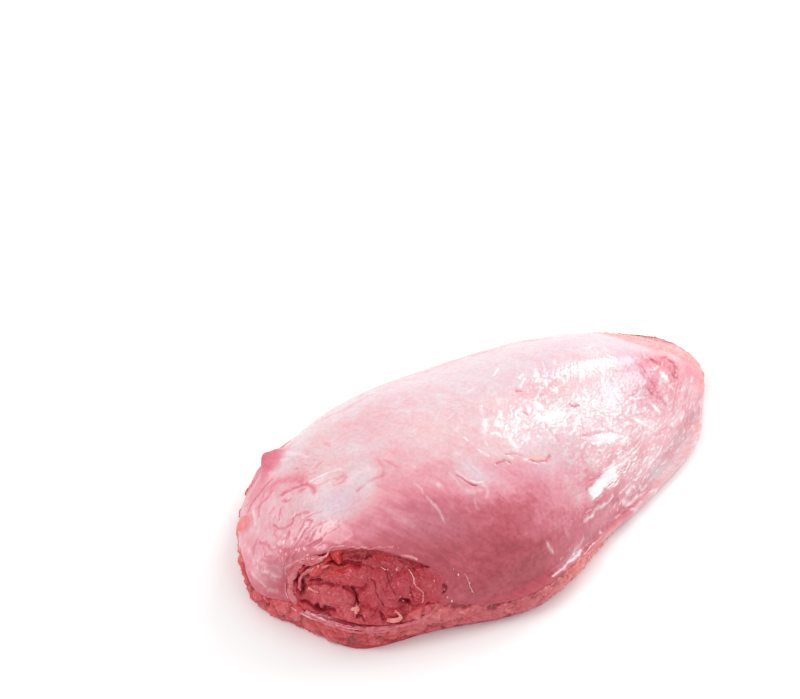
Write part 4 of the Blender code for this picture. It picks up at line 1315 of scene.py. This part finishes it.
HOLLOW_LUMPS = [
    # along, down, half sizes, heading in degrees, height of the top against the flank, paleness
    # of the top, partly painted light
    (-10.2, 2.4, 6.2, 2.9, 8, -0.5, 0.75), (-15.2, 1.6, 1.6, 1.9, 60, -0.8, 0.6),
    (-6, 6, 3, 1.7, 15, -0.5, 0.55), (-13.6, 5.2, 3.6, 1.7, 18, -0.1, 0.5),
    (-8.6, 7.4, 2.6, 1.1, 18, -0.2, 0.45), (-1.6, 6.4, 2.4, 1.8, -8, -0.5, 0.35),
    (4.4, 6.6, 2.3, 1.3, 10, -0.6, 0.22), (-5, -2.2, 5.6, 2.4, -6, -0.9, 0.4),
    (-12.2, -4.4, 3.4, 1.9, -30, -0.4, 0.6), (-16.9, -3.8, 1.6, 2.2, 35, -0.3, 0.4),
    (0.6, 1.2, 3.6, 5.4, 35, -1.2, 0.2), (6.2, 1.6, 3.2, 5.2, 30, -1, 0.1),
    (10.2, 4, 2.2, 3, 20, -0.8, 0.05), (-8, -7.4, 1.8, 1.8, 0, -0.6, 0.3),
    (13.2, -1, 4, 5, 10, -0.5, 0.1),
]
# Gaps in the torn muscle: cut into the floor and darkened with painted shade.
HOLLOW_GAPS = [
    # path, half width, depth
    ([(-17.2, -1.6), (-16.6, -0.4), (-16.2, 0.9)], 0.75, 1.6),
    ([(-13.9, -0.9), (-12.8, -1.1), (-11.4, -1.4)], 0.28, 0.8),
    ([(-16.6, 2.9), (-14.2, 3.9), (-11, 4.6), (-9, 5.7)], 0.36, 1.2),
    ([(-12.4, 4), (-11.2, 5.2), (-10.4, 6.6)], 0.45, 1.4),
    ([(4, 8.2), (6, 8.4), (9, 8), (11, 7.1), (12.2, 6), (11.9, 5.2)], 0.34, 1.8),
    ([(1.6, 5.8), (2, 7), (3.3, 7.8)], 0.2, 0.9),
    ([(-3.2, 6.4), (-2.2, 6.8), (-1.4, 7.5)], 0.16, 0.7), ([(6.6, 3.6), (7.6, 4.5)], 0.6, 1.2),
    ([(-4.6, 0.6), (-3.8, 2.4), (-3.5, 4)], 0.22, 0.8),
    ([(-14.2, 0.1), (-11, -0.5), (-9, -0.2)], 0.18, 0.4),
    ([(-5.2, -6.6), (-3, -6.8), (-1.6, -6.2), (0, -6.6)], 0.5, 0.4),
    ([(-9.6, -4.9), (-6.4, -5.4), (-3.2, -4.9)], 0.35, 0.8),
    ([(6.4, -6.6), (8.4, -5.9), (10.2, -4.8), (12.4, -4.6)], 0.45, 1.2),
    ([(16.4, 0.6), (16.8, 1.8), (16.2, 2.4)], 0.4, 0.9),
    ([(0.2, -1), (1.6, 2), (3, 4.6)], 0.14, 0.25),
    ([(2.4, -4.2), (4.2, -1.2), (5.4, 1.8)], 0.14, 0.25),
    ([(8.6, 0.4), (9.4, 2.6), (9.2, 4.4)], 0.16, 0.25),
]
# Brighter red patches, and where the bowl is shallower than elsewhere.
HOLLOW_RED = [
    (-7.6, -7.2, 2.4, 2.2, 0, 0.9), (3, -6.8, 4, 1.4, 0, 0.5), (-9.6, -4.8, 5, 2, -10, 0.95),
    (9, 6.6, 3, 1.4, -20, 0.1), (12.4, 3.4, 2, 2, 0, 0.15), (-16.6, 3.6, 3, 1.2, 40, 0.2),
]
HOLLOW_SHALLOW = [(-12, -3.4, 4, 3, 0, 0.9), (-13, 5.4, 4, 2.4, 18, 1)]
FLANK_ALONG, FLANK_DOWN = 27 * MM, 15 * MM  # how far the fit of the flank reaches


def flank_terms(across, down):
    """Products of powers of the two places, up to the sixth power in all."""
    u, v = across / FLANK_ALONG, down / FLANK_DOWN
    return np.stack([u ** i * v ** j for i in range(7) for j in range(7 - i)], axis=-1)


def flank_fit():
    """The smooth flank under the tear as a surface over the tear's own directions: a
    polynomial that fits points of the body."""
    turn, ring = np.meshgrid(np.linspace(0.5, 0.85, 240), np.linspace(0.25, 1.5, 240))
    across, down, out = tear_place(body_surface(turn, ring))
    near = ((np.abs(across) < FLANK_ALONG) & (np.abs(down) < FLANK_DOWN)
            & (np.abs(out) < TEAR_REACH))
    terms = flank_terms(across[near], down[near])
    return np.linalg.lstsq(terms, out[near], rcond=None)[0]


def on_flank(fit, across, down, height):
    """Points on the flank, from places in the tear's directions and heights in millimetres."""
    across, down = np.asarray(across) * MM, np.asarray(down) * MM
    out = flank_terms(across, down) @ fit + np.asarray(height) * MM
    return (TEAR_MIDDLE + across[..., None] * TEAR_ALONG + down[..., None] * TEAR_DOWN
            + out[..., None] * TEAR_OUT)


def hollow_floor(across, down):
    """Height of the torn muscle against the flank in millimetres, and its tissues (0 to 1).
    A bowl that is steep under the lip and shallow to the right; lumps raised out of it; gaps
    cut into it; and fibres that run down and to the right."""
    level = np.hypot(across, down) / closed_reach(TEAR_EDGE, np.arctan2(down, across))
    place = np.stack([across, down, 0 * across], axis=-1)
    u = across + 0.7 * smooth_noise(place, 2.4, 51) + 0.3 * smooth_noise(place, 0.9, 56)
    v = down + 0.7 * smooth_noise(place, 2.4, 52) + 0.3 * smooth_noise(place, 0.9, 57)
    shallow = smooth_step(9.0, 16.0, across)
    steep = 0.60 + 0.25 * smooth_step(1.0, -4.0, down) - 0.3 * shallow
    deepest = 2.6 - 0.8 * smooth_step(0, 8, down) - 1.6 * shallow
    deepest = deepest - painted(across, down, HOLLOW_SHALLOW)
    floor = -deepest * (1 - smooth_step(steep, 1.0, level))
    lump = 0.12 + 0.0 * across
    for *oval, top, tone in HOLLOW_LUMPS:
        a, b = oval_place(u, v, *oval)
        dome = np.sqrt(np.clip(1 - a * a - b * b, 0, 1))
        raised = smooth_max(floor, top - 1.6 * (1 - dome), 0.20)
        stands_out = (dome > 0) & (raised > floor + 0.02)
        lump = np.where(stands_out, np.maximum(lump, tone * dome ** 0.5), lump)
        floor = np.where(dome > 0, raised, floor)
    gaps = 0.0 * across
    for path, half_width, depth in HOLLOW_GAPS:
        mark = np.exp(-(distance_to(u, v, path) / (1.15 * half_width)) ** 2)
        floor = floor - 0.75 * depth * mark
        gaps = np.maximum(gaps, mark)
    fibre = np.stack([0.85 * u - 0.5 * v, (0.5 * u + 0.85 * v) / 5, 0 * u], axis=-1)
    fibrous = smooth_step(-5, 0, across)
    floor = floor + (0.10 + 0.14 * fibrous) * clouds(fibre, 0.8, 53)
    bent = np.stack([u, v, 0 * u], axis=-1)
    crumbs = 0.5 * lobules(bent, 1.7, 55) + 0.5 * lobules(bent, 0.75, 59)
    rough = 0.20 * clouds(place, 0.6, 54)
    floor = floor + 0.30 * (crumbs - 0.6) + rough
    floor = np.minimum(floor, 0.05 + 0.45 * (crumbs - 0.6) + rough)
    beyond = smooth_step(0.97, 1.0, level)
    floor = floor * (1 - beyond) + beyond * (-0.45 * (1 - shallow) - 9.0 * np.clip(level - 1, 0, 1))
    low = np.clip((-floor - 1.5) / 2.0, 0, 1)
    # Painted shade: darker in the gaps, deep in the bowl and between the crumbs; painted light:
    # paler on the lumps' tops.
    return floor, {
        "shaded_crease": np.clip(0.75 * gaps + 0.25 * low + 0.5 * np.clip(0.40 - crumbs, 0, 1), 0, 1),
        "lump": np.clip(0.8 * lump + 0.35 * crumbs - 0.25 + 0.4 * clouds(fibre, 0.9, 58), 0, 1),
        "red": np.clip(painted(u, v, HOLLOW_RED), 0, 1),
        "fat": 0.0 * across,
        "skin": 0.9 * shallow * smooth_step(0.70, 0.95, level) * smooth_step(4.5, 2.0, down),
    }


class CHEEK_OT_torn_muscle(bpy.types.Operator):
    """Make the open muscle in the tear"""

    bl_idname = "cheek.torn_muscle"
    bl_label = "Torn muscle"

    def execute(self, context):
        colours = context.scene.cheek_colours
        turn, radius = disc_places(400, 220)
        angle = turn * 2 * np.pi
        reach = closed_reach(TEAR_EDGE, angle) * 1.06 * radius
        across, down = reach * np.cos(angle), reach * np.sin(angle)
        floor, tissue = hollow_floor(across, down)
        points = fitted(on_flank(flank_fit(), across, down, floor))

        def sink(rim):
            """The rim runs inward, below the muscle."""
            halfway = rim + (rim.mean(axis=0) - rim) * 0.5
            return [rim - 2.2 * MM * TEAR_OUT, halfway - 3.2 * MM * TEAR_OUT]

        sheet_piece("torn_muscle", points, sink, tissue,
                    meat_material("torn_meat", colours, 0.35, 0.04))
        return {"FINISHED"}


# Ribbons on the tear: path in its directions, half width, half height, rise of the middle, and
# how ragged they are; and beads: place, half width and rise. Lengths in millimetres.
LIPS = [
    ([(-19, -2.6), (-17.6, -5.3), (-15.2, -6.4), (-12.2, -6.7), (-10.2, -7.3), (-8.7, -9),
     (-6, -9.5), (-3, -9.2), (0, -9), (3, -9.1), (5.6, -9), (7.2, -8.1)], 0.22, 0.2, 0.1, 0.3),
    ([(6.7, -7.3), (8.4, -7), (9.6, -6.5), (10.5, -5.9)], 0.3, 0.24, 0.12, 0.24),
]
STRAND_BELOW = [
    ([(-15.6, 5.4), (-12, 6.9), (-8, 8.1), (-4, 8.9), (0, 9.3), (4, 9.2), (8, 8.9), (11, 8),
     (13.2, 6.4), (14.6, 4.6)], 0.5, 0.36, 0, 0.26),
    ([(-17.6, 4.6), (-14, 6.6), (-10, 8.2), (-5, 9.5), (0, 10), (5, 9.8)], 0.34, 0.28, 0.05, 0.3),
    ([(-10.6, -6.7), (-14.2, -6.1), (-17, -4.5), (-18.5, -1.7), (-18.6, 1.4),
     (-17.4, 4.2)], 0.95, 0.55, -0.2, 0.36),
    ([(-9.4, -5.2), (-13, -4.2), (-15.4, -3), (-16.5, -1.2), (-16.5, 0.9)], 0.42, 0.4, -1, 0.36),
]
# Pale strips on the strand below the tear: partly pale membrane, partly painted highlights.
PALE_AND_HIGHLIGHT_STRANDS = [
    ([(-18.6, 4.6), (-16.8, 5.9), (-14.6, 6.8), (-12.6, 7.4)], 0.24, 0.2, 0.25, 0.22),
    ([(-15.2, 5.5), (-13.4, 6.2), (-12, 6.8), (-10.6, 7.2)], 0.26, 0.2, 0.3, 0.2),
    ([(-8.6, 8.1), (-6, 8.7), (-3.4, 9.1)], 0.16, 0.14, 0.34, 0.2),
    ([(-19.6, -1.2), (-19.8, 0.8), (-19.2, 2.6)], 0.14, 0.14, 0.15, 0.2),
]
SHREDS = [
    ([(-4.9, 4.4), (-3.8, 4.5), (-2.9, 4.9)], 0.42, 0.3, 0, 0.2),
    ([(-4, 5.6), (-3.7, 4.6), (-3.4, 3.9)], 0.34, 0.26, 0, 0.2),
    ([(3, 7.2), (4.4, 7.6), (5.8, 7.4), (6.4, 6.7)], 0.5, 0.26, 0.15, 0.2),
    ([(5, 5.2), (5.7, 6.2), (6.3, 6.9)], 0.26, 0.22, 0.1, 0.1),
    ([(-15.2, 5.2), (-14.2, 5.7)], 0.4, 0.3, 0.5, 0.1),
    ([(-14.6, -0.2), (-13.2, 0.6), (-12.2, 0.9)], 0.26, 0.22, -0.35, 0.2),
    ([(-12.2, -4.9), (-11.7, -5.1)], 0.34, 0.28, -0.1, 0.1),
]
THREADS = [
    ([(8.3, -4), (9.2, -2.6), (9.8, -0.6), (10.6, 0.6), (11.4, 1.8), (11.2, 3.2),
     (10.8, 4.2)], 0.1, 0.1, -0.1, 0.3),
    ([(2.3, -4.8), (3.4, -4.1)], 0.1, 0.1, -0.4, 0.1),
    ([(20.6, -1.8), (21.3, -0.2), (21.6, 1.6), (22.4, 3.4)], 0.08, 0.08, 0.02, 0.2),
]
BEADS = [
    (5.7, -4.1, 0.34, -0.3), (19.2, -1.6, 0.3, 0.1), (18.2, -3, 0.2, 0.1), (17.5, 4.4, 0.28, 0.15),
    (16.6, 3.3, 0.24, 0.1), (21.5, 0.7, 0.26, 0.1), (6.2, 2.3, 0.18, -0.7), (6.8, 3.3, 0.18, -0.7),
    (8.4, 2, 0.16, -0.7), (11.4, 2.4, 0.2, 0), (9, -3, 0.18, 0), (16, 1.4, 0.18, 0),
    (9.8, -0.4, 0.16, 0), (13.9, -0.9, 0.22, 0), (-11.2, -6.6, 0.2, 0.2), (22, 2.8, 0.15, 0.1),
]


def open_curve(path, count):
    """Points along a smooth curve through the path's points: on each span the cubic that
    has the slope of its neighbours at both ends."""
    path = np.array([path[0]] + list(path) + [path[-1]], float)
    place = np.linspace(0, len(path) - 3 - 1e-9, count)
    start = place.astype(int)
    t = (place - start)[:, None]
    before, here, after, beyond = (path[start + k] for k in range(4))
    return here + 0.5 * t * (after - before + t * (2 * before - 5 * here + 4 * after - beyond
                                                   + t * (3 * (here - after) + beyond - before)))


def tear_ribbon(fit, path, half_width, half_height, rise, ragged, salt):
    """One ribbon on the flank: points, up directions and half sizes, for ribbons_piece."""
    count = max(12, int(sum(math.dist(a, b) for a, b in zip(path, path[1:])) / 0.14))
    line = open_curve(path, count)
    place = np.column_stack([line, np.full(count, float(salt))])
    line = line + ragged * np.column_stack([clouds(place, 0.9, 61), clouds(place, 0.9, 65)])
    across, down = line.T
    wave = 1 + 1.6 * ragged * clouds(place, 1.1, 63)
    middle = on_flank(fit, across, down, rise + 0.5 * ragged * clouds(place, 0.8, 68))
    along_u = on_flank(fit, across + 0.05, down, 0.0) - on_flank(fit, across - 0.05, down, 0.0)
    along_v = on_flank(fit, across, down + 0.05, 0.0) - on_flank(fit, across, down - 0.05, 0.0)
    up = unit(np.cross(along_v, along_u))
    ends = np.clip(3.0 * np.sin(np.linspace(0, np.pi, count)), 0, 1) ** 0.5
    return fitted(middle), up, half_width * MM * ends * wave, half_height * MM * ends * wave


class CHEEK_OT_torn_edges(bpy.types.Operator):
    """Make the lips, strands, shreds, threads and beads of the tear"""

    bl_idname = "cheek.torn_edges"
    bl_label = "Torn edges"

    def execute(self, context):
        colours = context.scene.cheek_colours
        fit = flank_fit()
        beads = [([(u - 0.5 * half, v), (u + 0.5 * half, v)], half, 0.8 * half, rise, 0.0)
                 for u, v, half, rise in BEADS]
        for name, ribbons, colour, soft in (
            ("torn_lip", LIPS, colours.lip, 0.15),
            ("torn_strand", STRAND_BELOW, colours.strand, 0.15),
            ("pale_and_highlight_strands", PALE_AND_HIGHLIGHT_STRANDS, colours.blush, 0.15),
            ("torn_shreds", SHREDS, colours.shred, 0.15),
            ("torn_threads", THREADS + beads, colours.peach, 0.1),
        ):
            paths = [tear_ribbon(fit, *ribbon, salt) for salt, ribbon in enumerate(ribbons)]
            ribbons_piece(name, paths, membrane_material(name + "_skin", colour, soft))
        return {"FINISHED"}


class CHEEK_OT_stage(bpy.types.Operator):
    """Make the floor, the lights and the camera"""

    bl_idname = "cheek.stage"
    bl_label = "Stage"

    FRAME_WIDTH, FRAME_HEIGHT = 800, 699  # the photograph's frame in pixels
    CHEEK_PIXEL = (488, 500)  # where the middle of the cheek's footprint is in that frame
    PIXELS_ACROSS = 4324.0  # of a metre at the camera's distance

    def execute(self, context):
        stage, colours = context.scene.cheek_stage, context.scene.cheek_colours
        self.make_floor(colours)
        self.make_lights(stage)
        self.make_camera(stage)
        context.scene.view_settings.view_transform = "Standard"
        context.scene.view_settings.look = "None"
        return {"FINISHED"}

    def make_floor(self, colours):
        """A large flat pale floor."""
        material, tree, shader, place = new_material("pale_floor")
        mottle = noise(tree, place, 60.0, 2.0)
        darker = [0.985 * channel for channel in colours.floor]
        colour = blend_colours(tree, mottle, darker, colours.floor)
        set_inputs(tree, shader, {"Base Color": colour, "Roughness": 0.8})
        half = 3.0
        mesh = bpy.data.meshes.new("studio_floor")
        corners = [(-half, -half, 0), (half, -half, 0), (half, half, 0), (-half, half, 0)]
        mesh.from_pydata(corners, [], [(0, 1, 2, 3)])
        mesh.materials.append(material)
        floor = new_object("studio_floor", mesh)

    def make_lights(self, stage):
        """Soft boxes behind the thin end and off both ends, in an even bright room."""
        for name, place, width, height, power in (
            ("key_light", (0.72, 0.46, 0.50), 0.55, 0.32, stage.key_power),
            ("right_light", (0.86, -0.06, 0.42), 0.30, 0.30, stage.right_power),
            ("left_light", (-0.62, 0.08, 0.75), 0.34, 0.34, stage.left_power),
        ):
            light = bpy.data.lights.new(name, "AREA")
            light.shape = "RECTANGLE"
            light.size, light.size_y = width, height
            light.energy = power
            lamp = new_object(name, light)
            away = np.array(place) / np.linalg.norm(place)
            side = np.cross((0, 0, 1), away)
            side /= np.linalg.norm(side)
            turn = Matrix(np.stack([side, np.cross(away, side), away], axis=-1).tolist())
            lamp.matrix_world = Matrix.Translation(place) @ turn.to_4x4()
        world = bpy.data.worlds.new("bright_room")
        world.use_nodes = True
        set_inputs(world.node_tree, world.node_tree.nodes["Background"],
                   {"Color": (1.0, 1.0, 1.0, 1.0), "Strength": stage.room})
        bpy.context.scene.world = world

    def make_camera(self, stage):
        """A long lens that looks down at the cheek from its front left."""
        elevation, heading = stage.elevation, stage.heading
        forward = np.array([math.sin(heading) * math.cos(elevation),
                            math.cos(heading) * math.cos(elevation), -math.sin(elevation)])
        right = np.array([math.cos(heading), -math.sin(heading), 0.0])
        up = np.cross(right, forward)
        across = (self.CHEEK_PIXEL[0] - self.FRAME_WIDTH / 2) / self.PIXELS_ACROSS
        above = (self.FRAME_HEIGHT / 2 - self.CHEEK_PIXEL[1]) / self.PIXELS_ACROSS
        place = -(across * right + above * up + stage.distance * forward)
        camera = bpy.data.cameras.new("camera")
        camera.sensor_fit = "HORIZONTAL"
        camera.sensor_width = 36.0
        camera.lens = camera.sensor_width * self.PIXELS_ACROSS * stage.distance / self.FRAME_WIDTH
        holder = new_object("camera", camera)
        turn = Matrix(np.stack([right, up, -forward], axis=-1).tolist())
        holder.matrix_world = Matrix.Translation(place.tolist()) @ turn.to_4x4()
        bpy.context.scene.camera = holder


class CHEEK_PT_panel(bpy.types.Panel):
    """Lists the steps that make the cheek and its stage"""

    bl_idname = "CHEEK_PT_panel"
    bl_label = "Pork cheek"
    bl_space_type = "VIEW_3D"
    bl_region_type = "UI"
    bl_category = "Pork cheek"

    def draw(self, context):
        for operator in OPERATORS:
            self.layout.operator(operator.bl_idname)
        for group in ("cheek_sizes", "cheek_colours", "cheek_stage"):
            box = self.layout.box()
            settings = getattr(context.scene, group)
            for name in settings.__annotations__:
                box.prop(settings, name)


SETTINGS = {"cheek_sizes": CheekSizes, "cheek_colours": CheekColours, "cheek_stage": CheekStage}
OPERATORS = [CHEEK_OT_stage, CHEEK_OT_silverskin, CHEEK_OT_folded_sheets, CHEEK_OT_cut_band,
             CHEEK_OT_torn_muscle, CHEEK_OT_torn_edges]


def register():
    """Makes the add-on's classes and settings known."""
    for group in (*SETTINGS.values(), *OPERATORS, CHEEK_PT_panel):
        bpy.utils.register_class(group)
    for name, group in SETTINGS.items():
        setattr(bpy.types.Scene, name, PointerProperty(type=group))


def unregister():
    """Takes them away again."""
    for name in SETTINGS:
        delattr(bpy.types.Scene, name)
    for group in (CHEEK_PT_panel, *reversed(OPERATORS), *SETTINGS.values()):
        bpy.utils.unregister_class(group)


def main():
    """Makes the cheek and its stage."""
    register()
    for operator in OPERATORS:
        group, name = operator.bl_idname.split(".")
        getattr(getattr(bpy.ops, group), name)()


if __name__ == "__main__":
    main()
